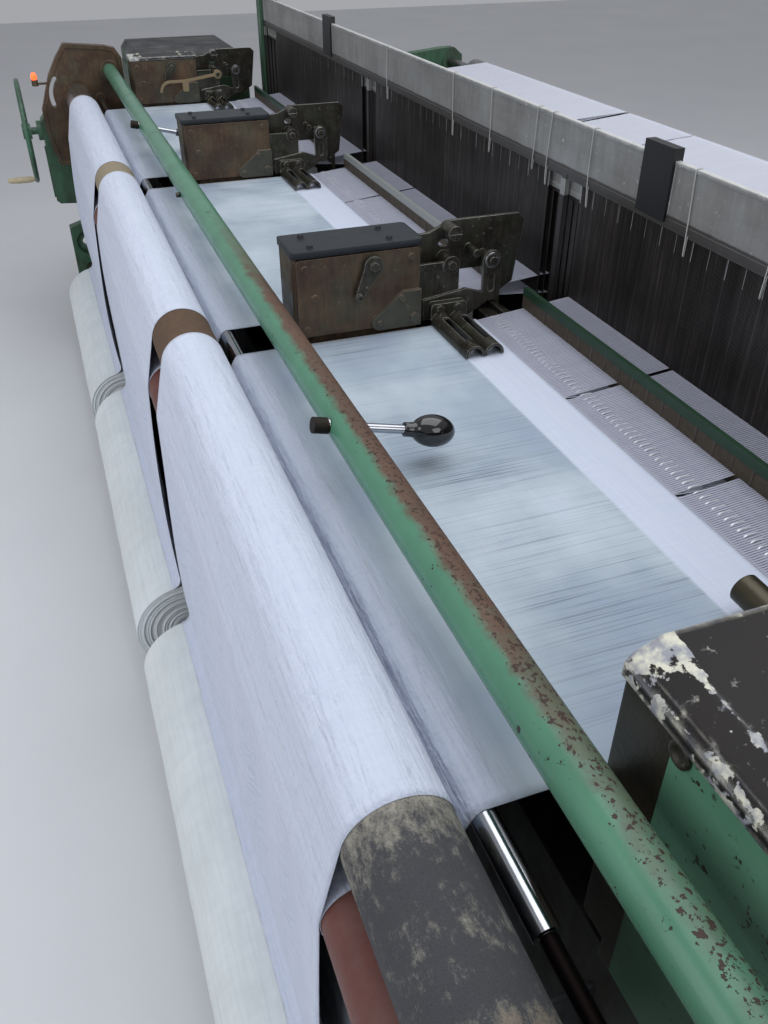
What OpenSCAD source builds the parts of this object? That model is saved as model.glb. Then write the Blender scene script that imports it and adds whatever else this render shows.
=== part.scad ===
// Wide projectile weaving machine for three cloth widths side by side.
// X runs along the machine, Y from the cloth side (minus) to the warp side (plus), Z up.
// The origin is on the floor under the middle of the machine.

/* [Cloth and warp] */
// Distance from one cloth width to the next
panel_pitch = 1200; // [1150:10:1250]
// Width of one cloth
panel_w = 1080; // [960:10:1090]
// Height of the top of the cloth over the floor
cloth_z = 964; // [955:1:975]
// Thickness of the woven cloth
cloth_t = 1; // [0.6:0.1:1.2]
// Thickness of a sheet of warp
warp_t = 1; // [0.6:0.1:1.4]
// Groups of warp ends across one cloth
warp_groups = 24; // [12:4:28]
// Share of the spacing that one group of ends covers
warp_cover = 0.66; // [0.4:0.02:0.7]
// Place of the last pick, where reed and cloth meet
fell_y = -219; // [-222:1:-216]
// Height of the warp eyes over or under the cloth line
shed_half = 21; // [12:1:24]
// Running gap round cloth on rollers
cloth_gap = 0.3; // [0.2:0.05:0.5]

/* [Rollers] */
// Radius of the emery take-up roller
take_r = 58; // [50:1:62]
// Take-up roller axis, front to back
take_y = -802; // [-810:1:-796]
// Depth of the take-up roller axis under the cloth
take_drop = 1; // [-6:1:9]
// Length of the steel collar at the left end of the take-up roller
collar_len = 280; // [240:5:300]
// Radius of the rubber press roller
press_r = 50; // [44:1:54]
// Slant of the line from the press roller to the take-up roller
nip_angle = 73.5; // [70:0.5:78]
// Radius of the polished breast bar
bar_r = 14.5; // [10:0.5:18]
// Breast bar axis, front to back
bar_y = -712; // [-720:1:-700]
// Length of the polished breast bar beyond the right cloth
bar_over = 126; // [60:2:300]
// Radius of the roller journals
journal_r = 20; // [14:1:24]
// Radial running clearance of every journal
fit = 0.05; // [0.02:0.01:0.1]
// Cloth roll axis, front to back
roll_y = -883; // [-890:1:-876]
// Height of the cloth roll axis
roll_z = 215; // [205:1:225]
// Radius of the rolled cloth
roll_r = 125; // [80:1:135]
// Radius of the cloth roll tube
roll_core_r = 34; // [30:1:44]
// Radius of the cloth roll shaft
roll_shaft_r = 22; // [16:1:26]

/* [Start tube] */
// Radius of the long starting tube
tube_r = 27.5; // [22:0.5:30]
// Starting tube axis, front to back
tube_y = -656; // [-660:1:-650]
// Height of the starting tube axis over the cloth
tube_rise = 90; // [84:1:102]
// Place of the right starting handle along the machine
handle_x1 = 1141; // [1000:1:1250]
// Place of the left starting handle along the machine
handle_x2 = -930; // [-1050:1:-800]
// Radius of the handle rod
rod_r = 7; // [5:0.5:9]
// Length of the handle from the tube axis to the tip of the knob
handle_len = 177; // [150:1:185]
// Drop of the handle under the horizontal
handle_drop = 14; // [8:1:15]

/* [Warp side] */
// Radius of the back rest roller
rest_r = 50; // [40:1:60]
// Back rest axis, front to back
rest_y = 945; // [920:1:960]
// Height of the back rest axis over the cloth
rest_rise = 35; // [16:1:46]
// Warp beam axis, front to back
beam_y = 764; // [750:1:770]
// Height of the warp beam axis
beam_z = 450; // [440:1:480]
// Radius of the beam flanges
flange_r = 400; // [380:1:400]
// Thickness of a beam flange
flange_t = 18; // [14:1:22]
// Radius of the warp wound on the beam
pack_r = 300; // [200:5:330]
// Radius of the beam barrel
barrel_r = 80; // [60:1:90]

/* [Harness] */
// Front face of the first heald frame
heald_y = -13; // [-16:1:-8]
// Thickness of a heald frame
heald_t = 10; // [8:1:11]
// Distance from one heald frame to the next
heald_pitch = 14; // [13:0.5:16]
// Height of a heald frame rail
rail_h = 101; // [80:1:104]
// Distance from the eye to either rail
heald_reach = 236; // [225:1:240]
// Length of a heald frame beyond the outermost cloth edge
heald_over = 190; // [160:5:205]

/* [Sley] */
// Sley shaft axis, front to back
sley_y = -130; // [-134:1:-128]
// Depth of the sley shaft axis under the cloth
sley_drop = 224; // [219:1:229]
// Radius of the sley shaft
sley_r = 30; // [24:1:34]
// Front face of the reed at rest
reed_y = -115; // [-118:1:-112]
// Depth of the reed from front to back
reed_t = 10; // [8:1:14]
// Height of the underside of the reed rib over the cloth
rib_rise = 37; // [34:1:42]
// Height of the reed rib
rib_h = 17; // [14:1:24]
// Width of one reed dent group
dent_w = 4; // [2:0.5:5]

/* [Frame] */
// Room between the outermost cloth edges and the side frames
side_room = 390; // [380:1:410]
// Thickness of a side frame
side_t = 60; // [40:2:70]
// Thickness of an end bracket
bracket_t = 40; // [30:1:44]
// Length of the drive and receiving ends outside the side frames
end_len = 430; // [410:1:450]
// Front edge of the main girder
girder_y0 = -580; // [-590:1:-575]
// Back edge of the main girder
girder_y1 = -320; // [-325:1:-315]
// Underside of the main girder
girder_z0 = 480; // [460:1:500]
// Top of the main girder
girder_z1 = 730; // [725:1:735]
// Wall of the main girder
girder_wall = 12; // [8:1:16]
// Radius of the floor bolt holes in the middle feet
foot_hole_r = 11; // [8:1:14]

/* [Box units] */
// Thickness of a box unit along the machine
unit_w = 107; // [90:1:109]
// Front face of the box units
unit_y0 = -598; // [-600:1:-592]
// Back face of the box units
unit_y1 = -340; // [-345:1:-330]
// Gap between the cloth and the box units
unit_gap = 6; // [4:1:11]
// Height of the box units with their lids
unit_h = 172; // [160:1:180]
// Thickness of a box unit lid
lid_t = 12; // [8:1:14]
// Radius of the corners of a box unit
unit_corner = 7; // [4:1:12]

/* [Drives] */
// Tooth size of the let-off gears
gear_module = 7; // [6:0.5:8]
// Teeth on the beam gear
gear_teeth = 60; // [60:1:64]
// Teeth on the let-off pinion
pinion_teeth = 18; // [18:1:20]
// Play between the let-off gear teeth
backlash = 0.5; // [0.3:0.1:0.8]
// Radius of the brake pulley
brake_r = 250; // [220:1:260]
// Radius of the motor pulley
motor_pulley_r = 80; // [70:1:90]
// Radius of the handwheel to the middle of its rim
wheel_r = 200; // [180:1:210]

/* [Hidden] */
smooth = 64;
panel_x = [panel_pitch, 0, -panel_pitch];
unit_x = [1.5 * panel_pitch, 0.5 * panel_pitch, -0.5 * panel_pitch, -1.5 * panel_pitch];

// Places along the machine, counted out from the outermost cloth edges
cloth_edge = panel_pitch + panel_w / 2;
side_x = cloth_edge + side_room;
side_out = side_x + side_t;
half_len = side_out + end_len;
bracket_x = side_x - 10;
bracket_in = bracket_x - bracket_t;
roller_end = side_x - 90;
heald_half = cloth_edge + heald_over;
sley_half = cloth_edge + 6;
sley_brackets = [for (s = [-1, 1], x = [cloth_edge + 210, panel_pitch, panel_pitch / 3]) s * x];
sley_arms = [for (s = [-1, 1], x = [cloth_edge - 90, 0.85 * panel_pitch, 0.65 * panel_pitch,
    0.15 * panel_pitch]) s * x];

// Heights, counted from the cloth
cloth_mid = cloth_z - cloth_t / 2;
take_z = cloth_z - take_drop;
tube_z = cloth_z + tube_rise;
rest_z = cloth_z + rest_rise;
sley_z = cloth_z - sley_drop;
rib_z = cloth_z + rib_rise;
unit_z0 = cloth_z + unit_gap;
unit_z1 = unit_z0 + unit_h;
table_z = cloth_z - 28;

// Radii of the bends of the cloth and of the warp
bar_wrap = bar_r + cloth_gap + cloth_t / 2;
bar_z = cloth_mid - bar_wrap;
take_wrap = take_r + cloth_gap + cloth_t / 2;
press_wrap = press_r + cloth_gap + cloth_t / 2;
nip = take_wrap + press_wrap;
press_y = take_y - nip * cos(nip_angle);
press_z = take_z - nip * sin(nip_angle);
press_over = press_wrap + cloth_t + cloth_gap;
roll_wrap = roll_r + cloth_gap + cloth_t / 2;
rest_wrap = rest_r + cloth_gap + warp_t / 2;
pack_wrap = pack_r + cloth_gap + warp_t / 2;
drape_y = press_y - press_over;
drape_r = 26;
cover_y = drape_y + 23;

// Warp lanes. The rear strips of the lower sheet stop short of the eyes by the way they come
// forward when the frames lift.
lane = (panel_w - 12) / warp_groups;
lane_w = lane * warp_cover;
eye_front = heald_y + heald_t / 2;
eye_back = heald_y + 2.4 * heald_pitch;
rest_crest = rest_z + rest_wrap + 0.5;
hinge_gap = 0.6;
lift_gap = 4.4;

// Press roller and end bearings
press_journal_r = journal_r - 5;
bar_core_r = bar_r - 5.5;
beam_journal_r = 30;
boss_out = 12;

// Rim and recess on the inner face of an end bracket, and the place of the signal lamp's socket
bracket_rim = 15;
bracket_recess = 6;
lamp_y = take_y - 163;
lamp_z = take_z + 45;

// Sley beam and reed baulk
beam_half_y = 30;
beam_mid_y = sley_y + 10;
beat_top = cloth_z - 39;
beat_h = 57;
rack_z = cloth_z - 68;

// Side frame windows: front, back, bottom, top and corner radius
side_windows = [
    [girder_y0 + 20, girder_y1 + 200, 150, girder_z0 - 60, 60],
    [heald_y - 47, heald_y + 413, 212, sley_z - 100, 80],
    [rest_y - 525, rest_y - 145, beam_z + 190, rest_z - 99, 60],
    [roll_y - 17, roll_y + 243, roll_z + 85, roll_z + 145, 28]];
pocket_depth = 12;
pocket_rim = 10;
pocket_edge = 24;

// Receiving unit
receiver_x = unit_x[0] - 50;
receiver_y0 = unit_y0 + 10;
receiver_y1 = sley_y + 18;
receiver_z1 = unit_z1 - 14;
receiver_foot = girder_z1 + 30;

// Crank lever on the side plate of a box unit
lever_y = unit_y0 + 155;
lever_z = unit_z1 - 38;
lever_len = 57;
lever_lean = 30;
lever_hub_r = 19;

// Rails of the warp stop motion
wire_rails = 4;
wire_pitch = 30;
wire_y = rest_y - 595;
wire_reach = 15;

// Let-off gears
flange_x = cloth_edge + 5;
gear_r = gear_module * gear_teeth / 2;
pinion_r = gear_module * pinion_teeth / 2;
pinion_y = beam_y - gear_r - pinion_r;
gear_x = flange_x + flange_t + 37;
gear_w = 40;
pinion_shaft_r = 18;
letoff_x = gear_x + 90;

// Main drive
brake_y = -330;
brake_z = 600;
motor_y = 60;
motor_z = 230;
motor_r = 110;
belts = 3;
belt_pitch = 22;
belt_w = 16;
belt_t = 8;
pulley_w = 80;
pulley_rim = 6;
pulley_x = -half_len + 20;
housing_x = pulley_x + pulley_w + 40;
shaft_r = 25;
motor_shaft_r = 19;

// Handwheel
wheel_x = -side_x - 45;
wheel_y = -1039;
wheel_z = 820;
wheel_shaft_r = 15;
rim_r = 10;
grip_y = -1164;
gearbox_y0 = -975;

// Corners of the end bracket, seen along X
bracket_outline = [[tube_y - 9, tube_z + 94], [take_y - 25, tube_z + 109], [take_y - 66, take_z + 147],
    [take_y - 105, take_z + 84], [take_y - 157, take_z - 48], [take_y - 157, take_z - 133],
    [take_y - 128, girder_z1 - 40], [tube_y + 56, girder_z1 - 40], [tube_y + 56, tube_z + 46],
    [tube_y + 34, tube_z + 84]];

function arc(cy, cz, r, a0, a1, n) =
    [for (i = [0:n]) let (a = a0 + (a1 - a0) * i / n) [cy + r * cos(a), cz + r * sin(a)]];

// Direction of the line that leaves circle 1 and reaches circle 2, as seen along X.
// A side of 1 has the circle on the left of the way, and -1 has it on the right.
function run_angle(y1, z1, r1, s1, y2, z2, r2, s2) =
    atan2(z2 - z1, y2 - y1) + asin((s1 * r1 - s2 * r2) / norm([y2 - y1, z2 - z1]));

// Offsets a path of points to a closed strip of thickness t
function along(p, i) = let (a = p[max(i - 1, 0)], b = p[min(i + 1, len(p) - 1)]) (b - a) / norm(b - a);
function strip(p, t) = concat(
    [for (i = [0:len(p) - 1]) let (d = along(p, i)) p[i] + [d[1], -d[0]] * t / 2],
    [for (i = [len(p) - 1:-1:0]) let (d = along(p, i)) p[i] - [d[1], -d[0]] * t / 2]);

// Moves the corners of a convex outline inwards, so that a rim of width w is left round it
function inset(p, w) = [for (i = [0:len(p) - 1])
    let (a = p[(i + len(p) - 1) % len(p)], b = p[i], c = p[(i + 1) % len(p)])
    let (u = (b - a) / norm(b - a), v = (c - b) / norm(c - b))
    b + w * [-u[1] - v[1], u[0] + v[0]] / (1 + u * v)];

// Path of the cloth: fell, breast bar, under and up the press roller, back over the take-up
// roller, down past the press roller and on to the cloth roll
bar_out = run_angle(bar_y, bar_z, bar_wrap, 1, press_y, press_z, press_wrap, -1);
take_out = run_angle(take_y, take_z, take_wrap, 1, press_y, press_z, press_over, 1) + 360;
drape_z = roll_z + sqrt(pow(drape_r + roll_wrap, 2) - pow(drape_y - drape_r - roll_y, 2));
drape_end = atan2(roll_z - drape_z, roll_y - drape_y + drape_r);
cloth_path = concat(
    [[fell_y - hinge_gap, cloth_mid]],
    arc(bar_y, bar_z, bar_wrap, 90, bar_out - 90 + 360, 6),
    arc(press_y, press_z, press_wrap, bar_out + 90 + 360, nip_angle + 2, 26),
    arc(take_y, take_z, take_wrap, nip_angle + 182, take_out - 90 + 360, 32),
    arc(press_y, press_z, press_over, take_out - 90, 180, 3),
    arc(drape_y - drape_r, drape_z, drape_r, 0, drape_end, 6));

// Path of the warp from the back rest to the beam
rest_out = run_angle(rest_y, rest_z, rest_wrap, -1, beam_y, beam_z, pack_wrap, -1);
back_path = concat(
    arc(rest_y, rest_z, rest_wrap, 89, rest_out + 90, 14),
    arc(beam_y, beam_z, pack_wrap, rest_out + 90, rest_out + 82, 3));

// Extrudes a shape in Y and Z along X
module profile(x0, x1) {
    translate([x0, 0, 0]) rotate([90, 0, 90]) linear_extrude(x1 - x0) children();
}

// Extrudes a shape in X and Z along Y
module facing(y0, y1) {
    translate([0, y1, 0]) rotate([90, 0, 0]) linear_extrude(y1 - y0) children();
}

// Extrudes a shape in X and Y upwards
module plan(z0, z1) {
    translate([0, 0, z0]) linear_extrude(z1 - z0) children();
}

module rod_x(r, x0, x1, y, z) {
    translate([x0, y, z]) rotate([0, 90, 0]) cylinder(r = r, h = x1 - x0, $fn = smooth);
}

module rod_y(r, x, y0, y1, z) {
    translate([x, y1, z]) rotate([90, 0, 0]) cylinder(r = r, h = y1 - y0, $fn = smooth);
}

module rod_z(r, x, y, z0, z1) {
    translate([x, y, z0]) cylinder(r = r, h = z1 - z0, $fn = smooth);
}

module block(x0, x1, y0, y1, z0, z1) {
    translate([x0, y0, z0]) cube([x1 - x0, y1 - y0, z1 - z0]);
}

// Hexagon head that stands on a face across X
module bolt_x(r, x0, x1, y, z) {
    translate([x0, y, z]) rotate([0, 90, 0]) cylinder(r = r, h = x1 - x0, $fn = 6);
}

// Rectangle with round corners
module rounded(a0, a1, b0, b1, r) {
    for (a = [a0 + r, a1 - r], b = [b0 + r, b1 - r]) translate([a, b]) circle(r = r, $fn = 32);
    translate([a0 + r, b0]) square([a1 - a0 - 2 * r, b1 - b0]);
    translate([a0, b0 + r]) square([a1 - a0, b1 - b0 - 2 * r]);
}

module grown(w, g) {
    rounded(w[0] - g, w[1] + g, w[2] - g, w[3] + g, w[4] + g);
}

// Outline of a side frame: feet, girder seat, and an arm that carries the back rest
module side_outline() {
    polygon([[roll_y - 62, 0], [girder_y0 - 110, 0], [girder_y0 - 60, 90], [280, 90], [330, 0],
        [rest_y + 15, 0], [rest_y + 15, 70], [rest_y - 45, 180], [rest_y - 65, beam_z - 30],
        [rest_y - 85, beam_z + 110], [rest_y - 105, rest_z - 239], [rest_y - 25, rest_z - 119],
        [rest_y + 60, rest_z - 40], [rest_y + 60, rest_z + 30], [rest_y + 20, rest_z + 62],
        [rest_y - 30, rest_z + 62], [heald_y + 343, cloth_z + 42], [heald_y + 313, cloth_z - 4],
        [heald_y + 253, sley_z + 5], [heald_y + 133, sley_z - 12], [girder_y0 - 20, girder_z1],
        [girder_y0 - 110, girder_z1], [girder_y0 - 110, roll_z + 265], [roll_y - 62, roll_z + 185]]);
}

// Cast side frame: windows with raised lips in shallow pockets, and bosses round the bearings
module side_casting(x0) {
    difference() {
        union() {
            difference() {
                profile(x0, x0 + side_t) side_outline();
                for (x = [x0 - 1, x0 + side_t - pocket_depth]) profile(x, x + pocket_depth + 1)
                    for (w = side_windows) grown(w, pocket_edge);
            }
            profile(x0, x0 + side_t) for (w = side_windows) grown(w, pocket_rim);
            rod_x(78, x0 - 8, x0 + side_t + 14, beam_y, beam_z);
            rod_x(48, x0 - 6, x0 + side_t + 10, roll_y, roll_z);
            rod_x(44, x0 - 8, x0 + side_t + 8, rest_y, rest_z);
        }
        profile(x0 - 1, x0 + side_t + 1) for (w = side_windows) grown(w, 0);
        rod_x(beam_journal_r + fit, x0 - 20, x0 + side_t + 20, beam_y, beam_z);
        rod_x(journal_r + fit, x0 - 20, x0 + side_t + 20, rest_y, rest_z);
        rod_x(roll_shaft_r + fit, x0 - 20, x0 + side_t + 20, roll_y, roll_z);
    }
}

module side_frame_left() {
    color("darkseagreen") side_casting(-side_out);
}

module side_frame_right() {
    color("darkseagreen") side_casting(side_x);
}

// Welded box girder with middle legs and the bearing brackets of the sley shaft
module main_girder() {
    color("darkseagreen") {
        difference() {
            block(-side_x, side_x, girder_y0, girder_y1, girder_z0, girder_z1);
            block(-side_x - 1, side_x + 1, girder_y0 + girder_wall, girder_y1 - girder_wall,
                girder_z0 + girder_wall, girder_z1 - girder_wall);
        }
        for (x = [unit_x[1], unit_x[2]]) {
            block(x - 40, x + 40, girder_y0 + 30, girder_y1 - 30, 30, girder_z0);
            for (s = [-1, 1]) translate([x, 0, 0]) facing(girder_y0 + 120, girder_y1 - 120)
                polygon([[s * 39, 29], [s * 85, 29], [s * 39, 140]]);
            difference() {
                block(x - 90, x + 90, girder_y0 - 20, girder_y1 + 20, 0, 30);
                for (s = [-70, 70], y = [girder_y0, girder_y1]) rod_z(foot_hole_r, x + s, y, -1, 31);
            }
        }
        for (x = sley_brackets) difference() {
            union() {
                profile(x - 20, x + 20) polygon([[girder_y1, sley_z - 180], [girder_y1, sley_z - 15],
                    [sley_y - 85, sley_z + 25], [sley_y - 55, sley_z + 60], [sley_y - 10, sley_z + 65],
                    [sley_y + 40, sley_z + 50], [sley_y + 58, sley_z], [sley_y + 40, sley_z - 50],
                    [sley_y, sley_z - 68], [sley_y - 80, sley_z - 120]]);
                rod_x(sley_r + 16, x - 26, x + 26, sley_y, sley_z);
            }
            rod_x(sley_r + fit, x - 30, x + 30, sley_y, sley_z);
        }
    }
}

// Tube between the side frames under the healds
module rear_crossbeam() {
    color("darkseagreen") difference() {
        rod_x(57, -side_x, side_x, heald_y + 163, 150);
        rod_x(50, -side_x - 1, side_x + 1, heald_y + 163, 150);
    }
}

// Cast end bracket that carries the rollers, the breast bar and the starting tube, with a curved
// slot for the pressure arm of the press roller. A rim and bearing bosses stand on its inner face,
// side 1 being the right bracket.
module bracket_casting(x0, side) {
    inner = side > 0 ? x0 - boss_out : x0 + bracket_t - bracket_recess - 1;
    boss_len = boss_out + bracket_recess + 1;
    recess_x = side > 0 ? x0 - 1 : x0 + bracket_t - bracket_recess;
    bore_x = x0 - boss_out - 1;
    bore_end = bore_x + bracket_t + 2 * boss_out + 2;
    difference() {
        union() {
            difference() {
                profile(x0, x0 + bracket_t) difference() {
                    polygon(bracket_outline);
                    for (i = [0:14]) let (a = 140 + i * 4)
                        translate([take_y + 108 * cos(a), take_z + 108 * sin(a)]) circle(r = 9, $fn = 24);
                }
                profile(recess_x, recess_x + bracket_recess + 1) polygon(inset(bracket_outline, bracket_rim));
            }
            rod_x(journal_r + 16, inner, inner + boss_len, take_y, take_z);
            rod_x(press_journal_r + 14, inner, inner + boss_len, press_y, press_z);
            rod_x(bar_core_r + 12, inner, inner + boss_len, bar_y, bar_z);
            rod_x(tube_r + 12, inner, inner + boss_len, tube_y, tube_z);
        }
        rod_x(journal_r + fit, bore_x, bore_end, take_y, take_z);
        rod_x(press_journal_r + fit, bore_x, bore_end, press_y, press_z);
        rod_x(bar_core_r + fit, bore_x, bore_end, bar_y, bar_z);
        rod_x(tube_r + fit, bore_x, bore_end, tube_y, tube_z);
    }
}

// The bracket stands on a pad on the girder end, inside the side frame. The left one also
// carries the socket of the signal lamp on an arm.
module end_bracket_left() {
    color("saddlebrown") {
        bracket_casting(-bracket_x, -1);
        block(-bracket_x, -bracket_in, girder_y0 - 40, girder_y0 + 20, girder_z1, girder_z1 + 30);
        block(-bracket_x, -bracket_in, girder_y0 - 40, girder_y0 - 20, girder_z1 - 40, girder_z1 + 1);
        block(-bracket_x + 16, -bracket_x + 24, lamp_y, take_y - 105, lamp_z + 4, lamp_z + 12);
        rod_z(13, -bracket_x + 20, lamp_y, lamp_z, lamp_z + 24);
    }
}

module end_bracket_right() {
    color("darkseagreen") {
        bracket_casting(bracket_in, 1);
        block(bracket_in, bracket_x, girder_y0 - 40, girder_y0 - 19, girder_z1, girder_z1 + 30);
        block(bracket_in, bracket_x, girder_y0 - 40, girder_y0, girder_z1 - 40, girder_z1 - 1);
    }
}

// Pressed sheet behind the hanging cloth, folded at the top and bottom, on ribs from the girder
module front_cover() {
    cover_x = side_x - 70;
    z0 = roll_z + roll_r + 32;
    z1 = girder_z1 - 44;
    color("slategray") {
        block(-cover_x, cover_x, cover_y, cover_y + 6, z0, z1);
        for (z = [z0, z1 - 6]) block(-cover_x, cover_x, cover_y, cover_y + 32, z, z + 6);
        for (x = [-1.5, -0.75, 0, 0.75, 1.5] * panel_pitch)
            block(x - 4, x + 4, cover_y + 5, girder_y0, girder_z0 + 80, z1 - 36);
    }
}

// Cloth table and fell rail under each cloth, on webs from the girder
module cloth_support() {
    color("darkseagreen") for (x = panel_x) {
        block(x - panel_w / 2, x + panel_w / 2, girder_y0 - 20, girder_y1 - 21, table_z - 6, table_z);
        rod_x(8, x - panel_w / 2, x + panel_w / 2, girder_y0 - 20, table_z - 8);
        block(x - panel_w / 2, x + panel_w / 2, girder_y1 - 21, fell_y - 73, table_z - 16, cloth_mid - cloth_t);
        for (s = [-0.36, 0, 0.36]) block(x + s * panel_w - 5, x + s * panel_w + 5,
            girder_y0 + 4, girder_y1 - 4, girder_z1, table_z - 5);
    }
}

// Polished bar that turns the cloth down, on a thin core between the end brackets
module breast_bar() {
    color("silver") {
        rod_x(bar_r, -roller_end, cloth_edge + bar_over, bar_y, bar_z);
        rod_x(bar_core_r, -bracket_x, bracket_x, bar_y, bar_z);
    }
}

// One cloth from the fell to the cloth roll
module fabric(x) {
    color("aliceblue") profile(x - panel_w / 2, x + panel_w / 2) polygon(strip(cloth_path, cloth_t));
}

module fabric_right() {
    fabric(panel_x[0]);
}

module fabric_middle() {
    fabric(panel_x[1]);
}

module fabric_left() {
    fabric(panel_x[2]);
}

// Receiving unit at the right end, with the round temple that holds the selvedge
module receiver_housing() {
    plate = 14;
    color("mediumseagreen") {
        profile(receiver_x + plate - 1, half_len) polygon([[receiver_y0, receiver_foot],
            [receiver_y0, receiver_z1], [receiver_y1, receiver_z1], [receiver_y1, sley_z + 90],
            [girder_y1 - 10, sley_z + 90], [girder_y1 - 10, receiver_foot]]);
        block(receiver_x + 52, side_x - 60, receiver_y0, girder_y1 - 10, girder_z1, receiver_foot + 1);
    }
    color("dimgray") {
        block(receiver_x, receiver_x + plate, receiver_y0, fell_y - 81, cloth_z + 4, receiver_z1);
        rod_x(20, receiver_x - 165, receiver_x + 1, fell_y - 77, cloth_z + 34);
        rod_x(26, receiver_x - 10, receiver_x + 1, fell_y - 108, cloth_z + 34);
    }
}

// Cast box unit on its pedestal, with a screwed side plate and the bracket of its temples
module unit_box(x) {
    face = x + unit_w / 2;
    top = unit_z1 - lid_t;
    color("saddlebrown") {
        plan(unit_z0, top) rounded(x - unit_w / 2, face - 10, unit_y0, unit_y1, unit_corner);
        profile(face - 11, face) rounded(unit_y0 + 6, unit_y1 - 4, unit_z0 + 4, top - 3, unit_corner);
        for (y = [unit_y0 + 22, unit_y1 - 22], z = [unit_z0 + 20, top - 20]) rod_x(6, face - 1, face + 3, y, z);
        rod_x(8, face - 1, face + 2, unit_y0 + 40, (unit_z0 + top) / 2);
        profile(face - 1, face + 7) {
            polygon([[unit_y1 - 92, unit_z0], [unit_y1 - 96, unit_z0 + 29], [unit_y1 - 40, unit_z0 + 74],
                [unit_y1 - 2, unit_z0 + 74], [unit_y1 - 2, unit_z0]]);
            translate([unit_y1 - 90, unit_z0 + 15]) circle(r = 15, $fn = smooth);
        }
        bolt_x(11, face + 6, face + 13, unit_y1 - 16, unit_z0 + 18);
        rod_x(6, face + 6, face + 13, unit_y1 - 43, unit_z0 + 62);
        rod_x(5, face + 6, face + 10, unit_y1 - 90, unit_z0 + 15);
        block(x - 40, x + 40, unit_y0 + 38, unit_y1 - 6, girder_z1, unit_z0 + 1);
    }
}

module unit_b_box() {
    unit_box(unit_x[1]);
}

module unit_c_box() {
    unit_box(unit_x[2]);
}

module unit_d_box() {
    unit_box(unit_x[3]);
}

// Flat lids of the box units and the shouldered lid of the receiving unit
module unit_lids() {
    color("darkslategray") {
        for (x = [unit_x[1], unit_x[2], unit_x[3]]) {
            plan(unit_z1 - lid_t, unit_z1)
                rounded(x - unit_w / 2 - 2, x + unit_w / 2 + 2, unit_y0 - 3, unit_y1 + 2, unit_corner + 2);
            for (y = [unit_y0 + 40, unit_y1 - 60], s = [-0.3, 0.3])
                rod_z(6, x + s * unit_w, y, unit_z1 - 1, unit_z1 + 5);
        }
        profile(receiver_x - 3, half_len - 40) polygon([[receiver_y0 - 4, receiver_z1 - 16],
            [receiver_y0, receiver_z1 - 16], [receiver_y0, receiver_z1], [receiver_y1 - 4, receiver_z1],
            [receiver_y1 - 4, receiver_z1 + 22], [receiver_y0 + 32, receiver_z1 + 22],
            [receiver_y0 + 3, receiver_z1 + 9], [receiver_y0 - 4, receiver_z1]]);
    }
}

// Arched temple cover over the cloth, open at its ends and slotted along its crown
module temple_cover(x0, x1, y) {
    difference() {
        profile(x0, x1) translate([y, cloth_z + 4]) difference() {
            circle(r = 20, $fn = smooth);
            circle(r = 15, $fn = smooth);
            translate([-21, -42]) square([42, 40]);
        }
        plan(cloth_z + 10, cloth_z + 30) rounded(x0 + 28, x1 - 30, y - 7, y + 7, 6.9);
    }
}

// Guard plates, roller heads, link, bolted bracket and twin temple covers behind a box unit
module unit_fittings(x) {
    z = cloth_z;
    y = unit_y1;
    hood_x = x + 57;
    hoods = [y + 41, y + 80];
    color("dimgray") {
        profile(x - 14, x - 6) difference() {
            polygon([[y, z + 70], [y, z + 164], [y + 40, z + 166], [y + 84, z + 186], [y + 236, z + 186],
                [y + 250, z + 172], [y + 232, z + 44], [y + 196, z + 22], [y + 176, z + 22],
                [y + 160, z + 84], [y + 90, z + 84], [y + 80, z + 70]]);
            rounded(y + 60, y + 80, z + 136, z + 150, 6);
        }
        profile(x + 26, x + 34) polygon([[y, z + 8], [y, z + 118], [y + 78, z + 118], [y + 90, z + 100],
            [y + 90, z + 21], [y + 40, z + 8]]);
        difference() {
            rod_x(14, x - 7, x + 40, y + 76, z + 174);
            block(x + 37, x + 41, y + 60, y + 92, z + 172, z + 176);
        }
        rod_x(18, x - 7, x + 36, y + 72, z + 110);
        bolt_x(9, x + 35, x + 42, y + 72, z + 110);
        rod_x(8, x - 7, x + 38, y + 126, z + 128);
        rod_x(9, x - 7, x + 50, y + 159, z + 112);
        difference() {
            profile(x + 33, x + 41) {
                translate([y + 159, z + 112]) circle(r = 20, $fn = smooth);
                polygon([[y + 139, z + 112], [y + 142, z + 40], [y + 150, z + 28], [y + 172, z + 28],
                    [y + 180, z + 40], [y + 179, z + 112]]);
            }
            profile(x + 38, x + 42) rounded(y + 153, y + 167, z + 46, z + 84, 6);
        }
        profile(x + 33, x + 41) polygon([[y + 10, z + 4], [y + 10, z + 46], [y + 104, z + 60],
            [y + 150, z + 44], [y + 156, z + 29], [y + 112, z + 4]]);
        difference() {
            profile(x + 40, hood_x + 1) rounded(hoods[0] - 20, hoods[1] + 20, z + 3, z + 42, 9);
            for (h = hoods) profile(hood_x - 3, hood_x + 2) translate([h, z + 4]) circle(r = 15, $fn = smooth);
        }
        for (h = hoods) {
            bolt_x(8, hood_x, hood_x + 6, h, z + 32);
            temple_cover(hood_x, hood_x + 173, h);
        }
    }
}

module unit_b_fittings() {
    unit_fittings(unit_x[1]);
}

module unit_c_fittings() {
    unit_fittings(unit_x[2]);
}

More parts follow.
